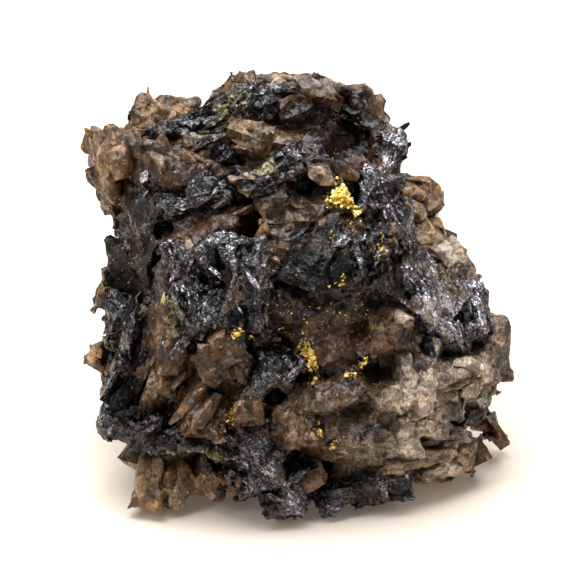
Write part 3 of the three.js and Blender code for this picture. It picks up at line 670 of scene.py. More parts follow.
def warped(places):
    """Nudges places so that the blocks lose their straight sides. The base stays flat."""
    free = smooth_step(places[:, 2], 0, BASE_STIFF)[:, None]
    wide = drift(places, size=4.2, seed=71) * 0.4
    narrow = drift(places, size=1.7, seed=72) * 0.2
    return places + (wide + narrow) * free


def finished(mesh, name, material, slot, *nodes):
    """A piece in metres that rides on the part and stands for its CAD nodes."""
    mesh.name = name
    set_places(mesh, places_of(mesh))
    mesh.transform(Matrix.Scale(MM, 4))
    mesh.shade_smooth()
    mesh.set_sharp_from_angle(angle=SHARP_EDGE)
    mesh.materials.clear()
    mesh.materials.append(material)
    piece = linked(name, mesh)
    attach(piece, "root")
    if nodes:
        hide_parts(*nodes)
    return piece


def quartz_skin():
    """The quartz, with its seats filled and sunk so that the sulphide covers them."""
    body = cad_solid([QUARTZ])
    quartz_tree = BVHTree.FromBMesh(body)
    body.from_mesh(to_mesh(cad_solid(SULPHIDES + GOLDS, grow=0.42), "fill"))
    mesh = remeshed(to_mesh(body, "quartz"), QUARTZ_GRAIN)
    places, outward = places_of(mesh), normals_of(mesh)
    filled = smooth_step(gaps_to(quartz_tree, places), 0.14, 0.36)
    relief = ledges(places, size=4.4, lean=0.16, seed=11)
    relief += ledges(places, size=2.1, lean=0.17, seed=12)
    relief -= ledges(places, size=1.0, lean=0.13, seed=13)
    sunk = relief * (1 - 0.5 * filled) - 0.85 * filled - 0.2
    set_places(mesh, warped(places) + outward * sunk[:, None])
    mesh = decimated(mesh, QUARTZ_KEPT)
    places = places_of(mesh)
    sulphide_tree = BVHTree.FromBMesh(cad_solid(SULPHIDES))
    dusty = np.exp(-gaps_to(sulphide_tree, places) / DUST_REACH)
    set_values(mesh, dusty=dusty, streak=places, **zone_values(places))
    return mesh


def lath_axes(name):
    """Three axes for a dark mass: along its laths, beside them and out of them."""
    turn, dip = np.radians(LATHS[name][:2])
    along = np.array([
        math.cos(turn) * math.cos(dip),
        math.sin(turn) * math.cos(dip),
        math.sin(dip),
    ]) @ LAYOUT
    beside = unit(np.cross(LAYOUT[2], along))
    return np.array([along, beside, np.cross(along, beside)])


def sulphide_skin(name, number, quartz_tree):
    """One dark mass, broken into laths that all run roughly one way."""
    mesh = remeshed(to_mesh(cad_solid([name], grow=0.2), name), SULPHIDE_GRAIN)
    places, outward = places_of(mesh), normals_of(mesh)
    streak = places @ lath_axes(name).T
    width, steepness, shine = LATHS[name][2:]
    squeezed = streak * np.array([0.3, 1.0, 1.2])
    relief = ledges(squeezed, size=width, lean=steepness * 0.55, seed=40 + number)
    relief += ledges(places, size=2.6, lean=0.16, seed=60 + number)
    relief -= ledges(places, size=0.8, lean=0.1, seed=80 + number)
    set_values(mesh, streak=streak)
    set_places(mesh, warped(places) + outward * (relief - 0.12)[:, None])
    mesh = decimated(mesh, SULPHIDE_KEPT)
    places = places_of(mesh)
    buried = np.exp(-gaps_to(quartz_tree, places) / BURIED_REACH)
    bright = drift(places, size=2.2, seed=200 + number)[:, 0] * 0.35 + shine
    set_values(mesh, ochre=zone_values(places)["ochre"], buried=buried, bright=bright)
    return mesh


# Crystals

def cut(shape, place, normal):
    """Breaks a closed shape off flat at a plane."""
    everything = shape.verts[:] + shape.edges[:] + shape.faces[:]
    plane = {"plane_co": place, "plane_no": normal}
    bmesh.ops.bisect_plane(shape, geom=everything, clear_outer=True, **plane)
    rim = [edge for edge in shape.edges if edge.is_boundary]
    bmesh.ops.holes_fill(shape, edges=rim)


def chip(shape, random, count, nearest, farthest):
    """Breaks a shape about 1 across off at planes on random sides of its middle."""
    for _ in range(count):
        slope = Vector(unit(random.normal(size=3)))
        cut(shape, slope * random.uniform(nearest, farthest), slope)


def trim_slab(shape, random):
    """Breaks a cube's ends off askew, its long upper edges and its four upper corners."""
    for end in (-1, 1):
        slope = Vector((end, random.uniform(-0.5, 0.5), random.uniform(0.0, 0.6)))
        cut(shape, (end * 0.4, 0, 0), slope.normalized())
    for side in (-1, 1):
        slope = Vector((random.uniform(-0.15, 0.15), side, random.uniform(0.4, 1.4)))
        edge = (0, side * random.uniform(0.3, 0.42), 0.36)
        cut(shape, edge, slope.normalized())
    for end, side in itertools.product((-1, 1), repeat=2):
        slope = Vector((end, side * random.uniform(0.5, 1.6), random.uniform(-0.2, 1.0)))
        corner = (end * random.uniform(0.2, 0.36), side * 0.36, 0.2)
        cut(shape, corner, slope.normalized())


def crystal_shape(kind, sizes, random, finest):
    """One crystal at the origin, with its length along x and its outer side up."""
    shape = bmesh.new()
    if kind == "lump":
        bmesh.ops.create_icosphere(shape, subdivisions=3, radius=0.52)
        chip(shape, random, count=7, nearest=0.38, farthest=0.47)
    else:
        bmesh.ops.create_cube(shape, size=1.0)
    if kind == "slab":
        trim_slab(shape, random)
    elif kind == "block":
        chip(shape, random, count=9, nearest=0.3, farthest=0.46)
    bmesh.ops.remove_doubles(shape, verts=shape.verts, dist=0.01)
    bmesh.ops.scale(shape, vec=sizes, verts=shape.verts)
    bmesh.ops.recalc_face_normals(shape, faces=shape.faces)
    for _ in range(MOST_SPLITS):
        wide = [face for face in shape.faces if len(face.verts) > 3]
        bmesh.ops.triangulate(shape, faces=wide)
        long_edges = [edge for edge in shape.edges if edge.calc_length() > finest]
        if long_edges:
            bmesh.ops.subdivide_edges(shape, edges=long_edges, cuts=1)
    bmesh.ops.triangulate(shape, faces=shape.faces)
    return shape


def turned_axes(facing, turn, lean, roll):
    """A crystal's axes on rock that faces one way: along, beside and out."""
    out = Vector(facing)
    along = Vector(np.array([math.cos(turn), math.sin(turn), 0.0]) @ LAYOUT)
    beside = out.cross(along).normalized()
    along = beside.cross(out)
    axes = Matrix([along, beside, out]).transposed()
    turned = Matrix.Rotation(-lean, 3, "Y") @ Matrix.Rotation(roll, 3, "X")
    return axes @ turned


class Crystals:
    """Crystals gathered into one broken skin, each with its own tone."""

    def __init__(self, random):
        self.random = random
        self.solid = bmesh.new()
        self.owners = []
        self.tones = []
        self.frames = []

    def grow(self, kind, tone, sizes, place, axes, finest):
        shape = crystal_shape(kind, sizes, self.random, finest)
        stand = Matrix.Translation(place) @ axes.to_4x4()
        bmesh.ops.transform(shape, matrix=stand, verts=shape.verts)
        self.owners += [len(self.tones)] * len(shape.verts)
        self.solid.from_mesh(to_mesh(shape, "crystal"))
        self.tones.append(TONES[tone])
        self.frames.append(np.array(axes.transposed()))

    def set_by_eye(self, table, trees):
        for look, across, rise, length, width, thick, turn, roll, proud in table:
            tone, kind = look.split()
            turn, roll = np.radians([turn, roll])
            place, facing = bedding(trees, across, rise)
            axes = turned_axes(facing, turn, 0.0, roll)
            centre = Vector(place + facing * (proud * STANDING - thick / 2))
            self.grow(kind, tone, (length, width, thick), centre, axes, finest=0.4)

    def scattered_on(self, mesh, count, kind, lengths, slimness, tones, weight, line=None):
        """More crystals like those, grown at random over a skin, or along one line."""
        chance = areas_of(mesh) * weight
        places, outward = places_of(mesh), normals_of(mesh)
        shortest, longest = lengths
        for spot in self.random.choice(len(places), count, p=chance / chance.sum()):
            length = shortest + (longest - shortest) * self.random.random() ** 1.5
            slim = self.random.uniform(*slimness)
            thick = length * slim * self.random.uniform(0.5, 0.8)
            turn = self.random.uniform(0, math.tau) if line is None else line
            turn += self.random.normal() * 0.2
            lean, roll = self.random.normal(size=2) * 0.3
            axes = turned_axes(outward[spot], turn, lean, roll)
            centre = Vector(places[spot] - outward[spot] * thick * 0.45)
            tone = tones[self.random.integers(len(tones))]
            self.grow(kind, tone, (length, length * slim, thick), centre, axes, finest=0.9)

    def skin(self, name, seed, keep):
        """The gathered crystals as one piece. Keep names the tones that it carries."""
        mesh = to_mesh(self.solid, name)
        places, outward = places_of(mesh), normals_of(mesh)
        owners = np.array(self.owners)
        frames = np.array(self.frames)[owners]
        values = {}
        for key in keep:
            values[key] = np.array([tone.get(key, 0.0) for tone in self.tones])[owners]
        shade = np.random.default_rng(seed).random(len(self.tones))[owners]
        streak = np.einsum("nij,nj->ni", frames, places)
        relief = ledges(places, size=1.6, lean=0.1, seed=seed)
        relief = relief - ledges(places, size=0.7, lean=0.1, seed=seed + 1) - 0.05
        set_places(mesh, places + outward * relief[:, None])
        set_values(mesh, shade=shade, streak=streak, **values)
        return mesh


# Crumbs

def crumb_shape(random, sizes, cuts):
    """A small convex crumb about 1 across with flat broken faces: vertices and triangles."""
    crumb = bmesh.new()
    bmesh.ops.create_cube(crumb, size=1.0)
    chip(crumb, random, cuts, nearest=0.32, farthest=0.5)
    bmesh.ops.remove_doubles(crumb, verts=crumb.verts, dist=0.02)
    bmesh.ops.scale(crumb, vec=sizes, verts=crumb.verts)
    bmesh.ops.triangulate(crumb, faces=crumb.faces)
    bmesh.ops.recalc_face_normals(crumb, faces=crumb.faces)
    crumb.verts.index_update()
    verts = np.array([vert.co[:] for vert in crumb.verts])
    faces = np.array([[vert.index for vert in face.verts] for face in crumb.faces])
    crumb.free()
    return verts, faces


def crumb_axes(outward, random):
    """Turned axes for each crumb: its long one, beside it and out of the rock."""
    count = len(outward)
    out = unit(outward + random.normal(size=(count, 3)) * CRUMB_TILT)
    beside = unit(np.cross(out, random.normal(size=(count, 3))))
    return np.stack([np.cross(beside, out), beside, out], 1)


def scattered(name, shapes, places, axes, sizes, values):
    """One mesh of many crumbs. Values are numbers that each whole crumb carries."""
    verts, faces, owners, streaks = [], [], [], []
    start = 0
    for kind, (shape_verts, shape_faces) in enumerate(shapes):
        chosen = np.arange(kind, len(places), len(shapes))
        local = shape_verts[None] * sizes[chosen, None, None]
        world = np.einsum("nvi,nij->nvj", local, axes[chosen]) + places[chosen, None]
        count = len(shape_verts)
        starts = start + count * np.arange(len(chosen))
        verts.append(world.reshape(-1, 3))
        streaks.append((local + chosen[:, None, None] * STREAK_STEP).reshape(-1, 3))
        faces.append((shape_faces[None] + starts[:, None, None]).reshape(-1, 3))
        owners.append(np.repeat(chosen, count))
        start += count * len(chosen)
    faces = np.concatenate(faces)
    owners = np.concatenate(owners)
    mesh = bpy.data.meshes.new(name)
    mesh.vertices.add(len(owners))
    mesh.loops.add(faces.size)
    mesh.loops.foreach_set("vertex_index", faces.astype(np.int32).ravel())
    mesh.polygons.add(len(faces))
    mesh.polygons.foreach_set("loop_start", np.arange(0, faces.size, 3, dtype=np.int32))
    set_places(mesh, np.concatenate(verts))
    mesh.update(calc_edges=True)
    set_values(mesh, streak=np.concatenate(streaks))
    set_values(mesh, **{key: numbers[owners] for key, numbers in values.items()})
    return mesh


def crumbs_on(skin, name, count, sizes, sink, weight, shapes, random):
    """Crumbs sunk into a skin by a share of their size, which take on its coloured zones."""
    places, outward, values = places_of(skin), normals_of(skin), values_of(skin)
    chance = areas_of(skin) * smooth_step(places[:, 2], 0.3, 0.8) * weight
    chosen = random.choice(len(places), count, p=chance / chance.sum())
    least, most = sizes
    sizes = least + (most - least) * random.random(count) ** 2
    bed = places[chosen] - outward[chosen] * (sizes * sink)[:, None]
    axes = crumb_axes(outward[chosen], random)
    carried = {key: numbers[chosen] for key, numbers in values.items()}
    return scattered(name, shapes, bed, axes, sizes, carried)


# Gold

def gold_skin(name, number):
    """Hackly native gold in place of one CAD lump."""
    mesh = remeshed(to_mesh(cad_solid([name], grow=0.02), name), GOLD_GRAIN)
    places, outward = places_of(mesh), normals_of(mesh)
    relief = ledges(places, size=0.55, lean=0.7, seed=120 + number)
    relief = relief + ledges(places, size=0.24, lean=0.6, seed=150 + number)
    set_places(mesh, places + outward * (relief - 0.2)[:, None])
    return mesh


def front_of(trees, across, rise):
    """Where a line straight into the best face meets the rock, and how it faces there."""
    start = Vector(from_layout([across, rise, IN_FRONT]))
    into = Vector(-LAYOUT[2])
    best = None
    for tree in trees:
        place, normal, _, gap = tree.ray_cast(start, into, THROUGH)
        if place is not None and (best is None or gap < best[2]):
            best = (place, normal, gap)
    return best


def bedding(trees, across, rise):
    """Where a crystal sits on the best face, and which way the rock around it faces."""
    steps = (0.0, -0.9, 0.9)
    spots = [front_of(trees, across + side, rise + up) for side in steps for up in steps]
    spots = [spot for spot in spots if spot]
    facing = sum(np.array(spot[1]) for spot in spots) / len(spots) + LAYOUT[2] * 0.5
    over_the_edge = len(spots) < len(steps) ** 2
    middle = min(spots, key=lambda spot: spot[2]) if over_the_edge else spots[0]
    return np.array(middle[0]), unit(facing)


def gold_specks(trees, random):
    shapes = [crumb_shape(random, (1.0, 0.7, 0.4), cuts=4) for _ in range(8)]
    places, normals, sizes = [], [], []
    for across, rise, half_width, half_height, number, size in GOLD_SPRAYS:
        for _ in range(number):
            side, up = random.normal(size=2) * 0.5
            found = front_of(trees, across + side * half_width, rise + up * half_height)
            if found is None:
                continue
            places.append(found[0])
            normals.append(found[1])
            sizes.append(size * (0.45 + 1.1 * random.random() ** 2))
    axes = crumb_axes(np.array(normals), random)
    return scattered("gold_specks", shapes, np.array(places), axes, np.array(sizes), {})


# Materials

# Each finish's colours: red, green and blue, the ground first
COLOURS = {
    "smoky_quartz": {
        "depths": (0.0166, 0.00832, 0.0037),
        "body": (0.078, 0.036, 0.0135),
        "mottle": (0.2, 0.11, 0.05),
        "brown": (0.105, 0.052, 0.02),
        "pale": (0.52, 0.43, 0.34),
        "honey": (0.32, 0.19, 0.083),
        "lilac": (0.185, 0.148, 0.133),
        # Painted sheen: a lilac-grey colour standing in for the lamp's reflection
        "rust": (0.167, 0.0481, 0.0148),
        "vein": (0.777, 0.629, 0.481),
        "ochre": (0.296, 0.25, 0.111),
        "dark": (0.0111, 0.00666, 0.00463),
        "dust": (0.0204, 0.0185, 0.0194),
        # Painted glints: a light colour for flecks that stand in for small highlights
        "painted_glint": (0.8, 0.611, 0.407),
    },
    "dark_sulphide": {
        "black": (0.015, 0.0145, 0.0145),
        "grey": (0.095, 0.092, 0.098),
        "bright": (0.72, 0.71, 0.78),
        "brown": (0.0925, 0.0537, 0.0296),
        "ochre": (0.296, 0.259, 0.12),
    },
    "native_gold": {
        "deep": (0.9, 0.6, 0.12),
        "bright": (1.0, 0.84, 0.32),
    },
    "pale_floor": {
        "ground": (0.9, 0.81, 0.71),
        "speck": (0.92, 0.83, 0.73),
    },
}


class Finish:
    """A material whose nodes are added one by one, with lengths in millimetres."""

    def __init__(self, name):
        self.material = bpy.data.materials.new(name)
        self.material.use_nodes = True
        self.tree = self.material.node_tree
        self.shader = self.tree.nodes["Principled BSDF"]
        self.colours = {key: (*colour, 1.0) for key, colour in COLOURS[name].items()}
        self.base = next(iter(self.colours.values()))
        place = self.add("ShaderNodeTexCoord").outputs["Object"]
        self.place = self.vectors("MULTIPLY", place, (1 / MM,) * 3)
        inputs = {"Vector": self.place, "Scale": 0.9, "Detail": 2.0}
        wander = self.add("ShaderNodeTexNoise", inputs).outputs["Color"]
        self.warp = self.vectors("ADD", self.place, wander)

    def add(self, kind, inputs=None, **settings):
        node = self.tree.nodes.new(kind)
        for key, value in settings.items():
            setattr(node, key, value)
        for key, value in (inputs or {}).items():
            self.plug(node.inputs[key], value)
        return node

    def plug(self, socket, value):
        if isinstance(value, bpy.types.NodeSocket):
            self.tree.links.new(value, socket)
        else:
            socket.default_value = value

    def set(self, **values):
        for key, value in values.items():
            self.plug(self.shader.inputs[key.replace("_", " ")], value)

    def noise(self, scale, detail=4.0, roughness=0.6, distortion=0.0, place=None):
        inputs = {
            "Vector": place or self.place,
            "Scale": scale,
            "Detail": detail,
            "Roughness": roughness,
            "Distortion": distortion,
        }
        return self.add("ShaderNodeTexNoise", inputs).outputs[0]

    def cells(self, scale, output="Distance", place=None):
        inputs = {"Vector": place or self.place, "Scale": scale}
        return self.add("ShaderNodeTexVoronoi", inputs, feature="F1").outputs[output]

    def attribute(self, name, output="Fac"):
        return self.add("ShaderNodeAttribute", attribute_name=name).outputs[output]

    def numbers(self, operation, *values):
        inputs = dict(enumerate(values))
        return self.add("ShaderNodeMath", inputs, operation=operation).outputs[0]

    def vectors(self, operation, *values):
        inputs = dict(enumerate(values))
        return self.add("ShaderNodeVectorMath", inputs, operation=operation).outputs[0]

    def times(self, first, second):
        return self.numbers("MULTIPLY", first, second)

    def plus(self, first, second):
        return self.numbers("ADD", first, second)

    def between(self, value, low, high, to_low=0.0, to_high=1.0):
        inputs = {0: value, 1: low, 2: high, 3: to_low, 4: to_high}
        return self.add("ShaderNodeMapRange", inputs, clamp=True).outputs[0]

    def patches(self, name, pattern, *limits):
        """A coloured zone of the rock, broken up by a pattern."""
        return self.times(self.attribute(name), self.between(pattern, *limits))

    def mix(self, share, first, second, blend):
        inputs = {0: share, 6: first, 7: second}
        return self.add("ShaderNodeMix", inputs, data_type="RGBA", blend_type=blend).outputs[2]

    def paint(self, colour, share):
        """Lays one of the finish's colours over the others, as strongly as share says."""
        self.base = self.mix(share, self.base, self.colours[colour], "MIX")

    def shade(self, value):
        """Makes the colours so far darker or lighter."""
        grey = self.add("ShaderNodeCombineColor", {0: value, 1: value, 2: value}).outputs[0]
        self.base = self.mix(1.0, self.base, grey, "MULTIPLY")

    def ridge(self, value, width):
        """1 along thin lines where a pattern passes its middle, and 0 away from them."""
        away = self.numbers("ABSOLUTE", self.plus(value, -0.5))
        return self.between(away, width, 0.0)

    def flecks(self, scale, size, share):
        """Small round flecks in some cells of a pattern."""
        spot = self.between(self.cells(scale), size, size * 0.6)
        chosen = self.between(self.cells(scale, "Color"), 1 - share, 1.02 - share)
        return self.times(spot, chosen)

    # How open a place is, from least in crevices to 1.1 in the open: the finishes darken by it
    # as painted shade, and use it to keep painted glints out of crevices
    def openness(self, least):
        return self.between(self.attribute("open"), 0.22, 0.85, least, 1.1)

    def stretched_streak(self, *scale):
        """Places along a crystal or a mass of laths, drawn out along it."""
        return self.vectors("MULTIPLY", self.attribute("streak", "Vector"), scale)

    def facets(self, scale, tilt, normal, place=None):
        """Tilts each cell of a pattern its own way, like small cleavage faces."""
        tilt = tilt if isinstance(tilt, bpy.types.NodeSocket) else (tilt,) * 3
        cell = self.cells(scale, "Color", place=place)
        push = self.vectors("MULTIPLY", self.vectors("SUBTRACT", cell, (0.5,) * 3), tilt)
        return self.vectors("NORMALIZE", self.vectors("ADD", normal, push))

    def bump(self, height, strength, distance, normal=None):
        inputs = {"Height": height, "Strength": strength, "Distance": distance * MM}
        if normal is not None:
            inputs["Normal"] = normal
        return self.add("ShaderNodeBump", inputs).outputs[0]


def quartz_finish():
    """Smoky quartz: clear brown depths, pale veils and clouds, dark dust, tiny painted glints,
    a painted lilac sheen, painted shade in crevices and a painted glow at thin edges.
    """
    finish = Finish("smoky_quartz")
    paint, patches, between = finish.paint, finish.patches, finish.between
    attribute, times, plus = finish.attribute, finish.times, finish.plus
    cloud = finish.noise(0.38, detail=5.0, roughness=0.6, distortion=0.7)
    mottle = finish.noise(0.95, detail=8.0, roughness=0.68, distortion=0.9)
    grit = finish.noise(3.2, detail=6.0, roughness=0.75, distortion=0.3)
    paint("body", between(cloud, 0.36, 0.64))
    paint("mottle", between(mottle, 0.5, 0.7))
    brown = patches("brown", mottle, 0.36, 0.6, 0.25, 0.95)
    paint("brown", times(brown, between(attribute("shade"), 0.0, 1.0, 0.35, 1.0)))
    pale = patches("pale", mottle, 0.38, 0.62, 0.12, 1.15)
    pale = times(pale, between(cloud, 0.36, 0.58, 0.35, 1.1))
    paint("pale", between(pale, 0.05, 1.1, 0.0, 0.9))
    honey = patches("honey", mottle, 0.34, 0.62, 0.25, 1.1)
    # Painted glow: lighter honey where the quartz is thin, standing in for light shining
    # through its edges
    honey = plus(honey, between(attribute("thin"), 0.5, 0.9, 0.0, 0.5))
    paint("honey", between(honey, 0.05, 1.1, 0.0, 0.9))
    # Painted sheen: a lilac-grey wash standing in for the lamp's reflection on the upper
    # crystals
    paint("lilac", times(attribute("lilac"), 0.8))
    rust = patches("rust", cloud, 0.35, 0.6, 0.4, 1.1)
    paint("rust", between(rust, 0.05, 0.9, 0.0, 0.85))
    vein = finish.noise(0.55, detail=6.0, roughness=0.62, distortion=1.6)
    vein = times(finish.ridge(vein, 0.035), between(attribute("pale"), 0.0, 1.0, 0.04, 0.5))
    paint("vein", vein)
    ochre = patches("ochre", mottle, 0.4, 0.6)
    paint("ochre", between(ochre, 0.1, 0.6, 0.0, 0.85))
    dark = patches("dark", mottle, 0.3, 0.7, 1.2, 0.6)
    paint("dark", between(dark, 0.05, 1.0, 0.0, 0.9))
    dust = finish.noise(1.3, detail=8.0, roughness=0.75, distortion=1.0)
    dust = plus(dust, times(attribute("dusty"), 0.13))
    paint("dust", between(dust, 0.58, 0.64, 0.0, 0.85))
    face = finish.cells(0.8, "Color", place=finish.warp)
    finish.shade(between(grit, 0.36, 0.62, 0.65, 1.3))
    # Painted shade: darker in crevices and hollows, where little of the air around a place is
    # open
    finish.shade(finish.openness(0.12))
    # Each facet lighter or darker: partly the grains' own tone, partly painted glitter of
    # facets catching the light
    finish.shade(between(face, 0.25, 0.75, 0.5, 1.6))
    # Painted glints: small light flecks in the colour that stand in for highlights, kept out
    # of crevices
    painted_glints = times(finish.flecks(3.0, size=0.34, share=0.2), between(mottle, 0.4, 0.56))
    paint("painted_glint", times(times(painted_glints, finish.openness(0.0)), 0.6))
    finish.set(Base_Color=finish.base, Roughness=between(face, 0.3, 0.7, 0.36, 0.12))
    finish.set(IOR=1.54, Specular_IOR_Level=0.4)
    finish.set(Subsurface_Weight=0.2, Subsurface_Scale=0.9 * MM)
    finish.set(Subsurface_Radius=(1.0, 0.55, 0.28))
    streaks = finish.noise(1.0, 3.0, 0.6, 0.3, finish.stretched_streak(0.5, 4.0, 4.0))
    rough = finish.bump(streaks, strength=0.25, distance=0.12)
    rough = finish.bump(mottle, strength=0.3, distance=0.25, normal=rough)
    rough = finish.bump(grit, strength=0.28, distance=0.1, normal=rough)
    rough = finish.facets(0.8, 0.4, rough, finish.warp)
    rough = finish.facets(1.9, 0.4, rough, finish.warp)
    finish.set(Normal=finish.facets(4.2, 0.35, rough))
    return finish.material


def sulphide_finish():
    """Dark sulphide: black cleavage faces, fine streaks, bright grains, ochre films and
    painted shade in crevices.
    """
    finish = Finish("dark_sulphide")
    paint, between, times, plus = finish.paint, finish.between, finish.times, finish.plus

    def livelier(calm, lively):
        """Less on black crystals, whose faces are calm, and more on bright ones."""
        return between(finish.attribute("bright"), 0.0, 0.3, calm, lively)

    cloud = finish.noise(0.6, detail=5.0, roughness=0.65, distortion=0.5)
    grit = finish.noise(3.4, detail=5.0, roughness=0.75, distortion=0.3)
    streak = finish.stretched_streak(0.35, 2.6, 2.6)
    streaks = finish.noise(1.0, detail=6.0, roughness=0.7, distortion=0.5, place=streak)
    shine = plus(times(grit, 0.55), times(streaks, 0.45))
    shine = plus(shine, between(finish.attribute("bright"), 0.0, 1.0, -0.1, 0.18))
    paint("grey", between(shine, 0.42, 0.56))
    paint("bright", between(shine, 0.56, 0.7))
    brown = plus(cloud, times(finish.attribute("buried"), 0.16))
    brown = between(brown, 0.58, 0.64)
    paint("brown", brown)
    ochre = finish.patches("ochre", finish.noise(1.8, detail=6.0), 0.4, 0.58)
    ochre = between(ochre, 0.12, 0.5, 0.0, 0.9)
    paint("ochre", ochre)
    # Painted shade: darker in crevices and hollows, where little of the air around a place is
    # open
    finish.shade(finish.openness(0.2))
    dull = finish.numbers("MAXIMUM", brown, ochre)
    finish.set(Base_Color=finish.base, Metallic=between(dull, 0.0, 1.0, 0.92, 0.0))
    finish.set(Roughness=between(finish.noise(2.6), 0.3, 0.7, 0.15, 0.4))
    rough = finish.bump(streaks, strength=0.4, distance=0.18)
    rough = finish.bump(grit, strength=livelier(0.2, 0.5), distance=0.1, normal=rough)
    rough = finish.facets(1.6, livelier(0.3, 0.6), rough, streak)
    finish.set(Normal=finish.facets(4.6, livelier(0.25, 0.75), rough))
    return finish.material


def gold_finish():
    finish = Finish("native_gold")
    cloud = finish.noise(2.6)
    finish.paint("bright", finish.between(cloud, 0.4, 0.62))
    finish.set(Base_Color=finish.base, Metallic=1.0)
    finish.set(Roughness=finish.between(cloud, 0.3, 0.7, 0.42, 0.26))
    finish.set(Normal=finish.bump(finish.noise(9.0), strength=0.5, distance=0.08))
    return finish.material


def floor_finish():
    finish = Finish("pale_floor")
    finish.paint("speck", finish.noise(0.02, detail=3.0))
    finish.set(Base_Color=finish.base, Roughness=0.7)
    finish.set(Emission_Color=(1.0, 0.84, 0.68, 1.0), Emission_Strength=0.09)
    return finish.material


# The stage

def make_floor():
    sheet = bmesh.new()
    bmesh.ops.create_grid(sheet, x_segments=8, y_segments=8, size=0.6)
    floor = linked("floor", to_mesh(sheet, "floor"))
    floor.data.materials.append(floor_finish())


def make_light(name, place, size, power):
    """A soft rectangular lamp, sizes in metres and power in watts, aimed at the lump."""
    light = bpy.data.lights.new(name, "AREA")
    light.shape = "RECTANGLE"
    light.size, light.size_y = size
    light.energy = power
    holder = linked(name, light)
    holder.location = place
    aim = Vector((0, 0, 0.015)) - Vector(place)
    holder.rotation_euler = aim.to_track_quat("-Z", "Y").to_euler()


def make_world():
    world = bpy.data.worlds.new("studio")
    world.use_nodes = True
    back = world.node_tree.nodes["Background"]
    back.inputs["Color"].default_value = (1.0, 0.93, 0.86, 1.0)
    back.inputs["Strength"].default_value = 0.09
    bpy.context.scene.world = world


def make_camera():
    """The photograph looks straight into the best face. Lengths in millimetres."""
    frame_width = 57.5
    distance = 420.0
    sensor_width = 36
    camera = bpy.data.cameras.new("camera")
    camera.sensor_width = sensor_width
    camera.lens = sensor_width * distance / frame_width
    camera.clip_start = 0.01
    holder = linked("camera", camera)
    turn = Matrix(LAYOUT.T.tolist()).to_4x4()
    place = Vector(from_layout([-0.25, 0.25, distance]) * MM)
    holder.matrix_world = Matrix.Translation(place) @ turn
    bpy.context.scene.camera = holder


# The specimen

def grow_quartz_crystals(quartz, trees, random):
    """Set one by one on the best face, and wild on the sides and the back."""
    rock = Crystals(random)
    rock.set_by_eye(QUARTZ_CRYSTALS, trees)
    behind = 1 - smooth_step(to_layout(places_of(quartz))[:, 2], -4, 2)
    clean = 1 - smooth_step(values_of(quartz)["dusty"], 0.2, 0.5)
    above = smooth_step(places_of(quartz)[:, 2], 1.5, 3)
    away = smooth_step(-normals_of(quartz) @ LAYOUT[2], 0.35, 0.65)
    weight = clean * above * behind * away
    tones = ["brown", "brown", "tan", "dark", "honey", "tan", "brown"]
    rock.scattered_on(quartz, 70, "block", (2.6, 5.5), (0.55, 0.85), tones, weight)
    rock.scattered_on(quartz, 44, "slab", (2.6, 5.5), (0.25, 0.5), tones, weight)
    keep = ["brown", "pale", "lilac", "honey", "rust", "dark", "ochre"]
    return rock.skin("quartz_crystals", seed=301, keep=keep)


def grow_sulphide_crystals(masses, trees, random):
    """Set one by one on the best face, and wild all over the masses, along their laths."""
    ore = Crystals(random)
    ore.set_by_eye(SULPHIDE_CRYSTALS, trees)
    tones = ["black", "grey", "black", "grey"]
    for name, mesh in masses.items():
        count = round(areas_of(mesh).sum() / CRYSTAL_AREA)
        above = smooth_step(places_of(mesh)[:, 2], 1.0, 2.0)
        line = math.radians(LATHS[name][0])
        ore.scattered_on(mesh, count, "slab", (1.2, 3.4), (0.2, 0.5), tones, above, line)
    return ore.skin("sulphide_crystals", seed=311, keep=["bright", "ochre"])


def look_around(skins, glassy):
    """Notes how open each place is to the air, for painted shade in crevices, and how thin the
    glassy skins are there, for a painted glow at thin edges.
    """
    everything = tree_of(*skins)
    for mesh in skins:
        rays = rays_around(normals_of(mesh), lean=math.radians(50), count=6)
        view = clearance(everything, places_of(mesh), rays, most=OPEN_REACH)
        set_values(mesh, open=view / OPEN_REACH)
    for mesh in glassy:
        rays = rays_around(-normals_of(mesh), lean=math.radians(40), count=4)
        inside = clearance(tree_of(mesh), places_of(mesh), rays, most=5.0)
        set_values(mesh, thin=np.exp(-inside / THIN_REACH))


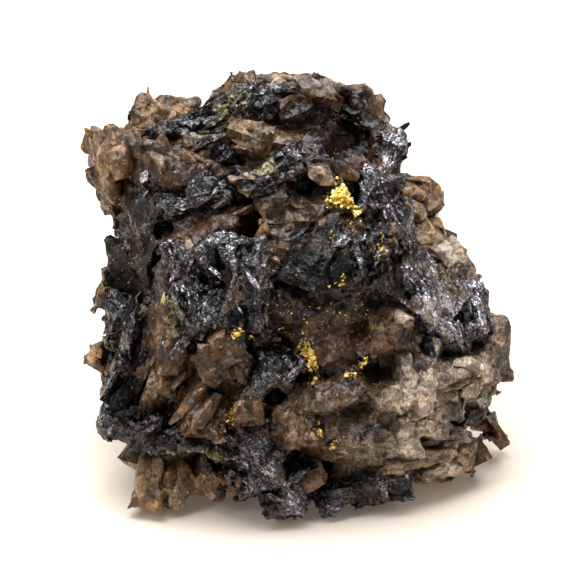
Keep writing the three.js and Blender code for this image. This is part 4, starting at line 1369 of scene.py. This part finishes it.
def make_specimen():
    random = np.random.default_rng(20)
    quartz_look = (quartz_finish(), "quartz")
    sulphide_look = (sulphide_finish(), "sulphide")
    gold_look = (gold_finish(), "gold")
    quartz_tree = BVHTree.FromBMesh(cad_solid([QUARTZ]))
    sulphide_tree = BVHTree.FromBMesh(cad_solid(SULPHIDES))
    trees = [quartz_tree, sulphide_tree]
    quartz = quartz_skin()
    masses = {name: sulphide_skin(name, i, quartz_tree) for i, name in enumerate(SULPHIDES)}
    rock = grow_quartz_crystals(quartz, trees, random)
    ore = grow_sulphide_crystals(masses, trees, random)
    look_around([quartz, rock, *masses.values(), ore], glassy=[quartz, rock])

    crumbs = [crumb_shape(random, (1.0, 0.72, 0.5), cuts=5) for _ in range(16)]
    zones = values_of(quartz)
    weight = 0.12 + zones["dusty"] + zones["rust"] * 0.6 + zones["dark"] * 0.35
    bedded = {"shapes": crumbs, "random": random}
    crumbled = crumbs_on(quartz, "crumbs", CRUMBS, (0.25, 0.85), 0.36, weight, **bedded)
    pieces = {
        "quartz_surface": (quartz, *quartz_look, QUARTZ),
        "quartz_crystals": (rock, *quartz_look),
        "sulphide_crystals": (ore, *sulphide_look),
        "quartz_crumbs": (crumbled, *quartz_look),
    }
    for name, mesh in masses.items():
        count = round(areas_of(mesh).sum() / GRAIN_AREA)
        grains = crumbs_on(mesh, "grains", count, (0.25, 0.7), 0.3, 1.0, **bedded)
        pieces[name + "_grains"] = (grains, *sulphide_look)
        pieces[name + "_surface"] = (mesh, *sulphide_look, name)
    trees = [tree_of(mesh) for mesh, *_ in pieces.values()]
    pieces["gold_specks"] = (gold_specks(trees, random), *gold_look)
    for i, name in enumerate(GOLDS):
        pieces[name + "_surface"] = (gold_skin(name, i), *gold_look, name)
    for name, (mesh, *rest) in pieces.items():
        finished(mesh, name, *rest)


bpy.context.scene.view_settings.view_transform = "Standard"
make_camera()
make_floor()
make_world()
make_light("softbox_above", place=(-0.04, 0.12, 0.44), size=(0.62, 0.5), power=5.3)
make_light("softbox_left", place=(-0.34, -0.2, 0.3), size=(0.14, 0.2), power=0.45)
make_light("softbox_right", place=(0.36, -0.06, 0.24), size=(0.12, 0.2), power=0.22)
make_specimen()
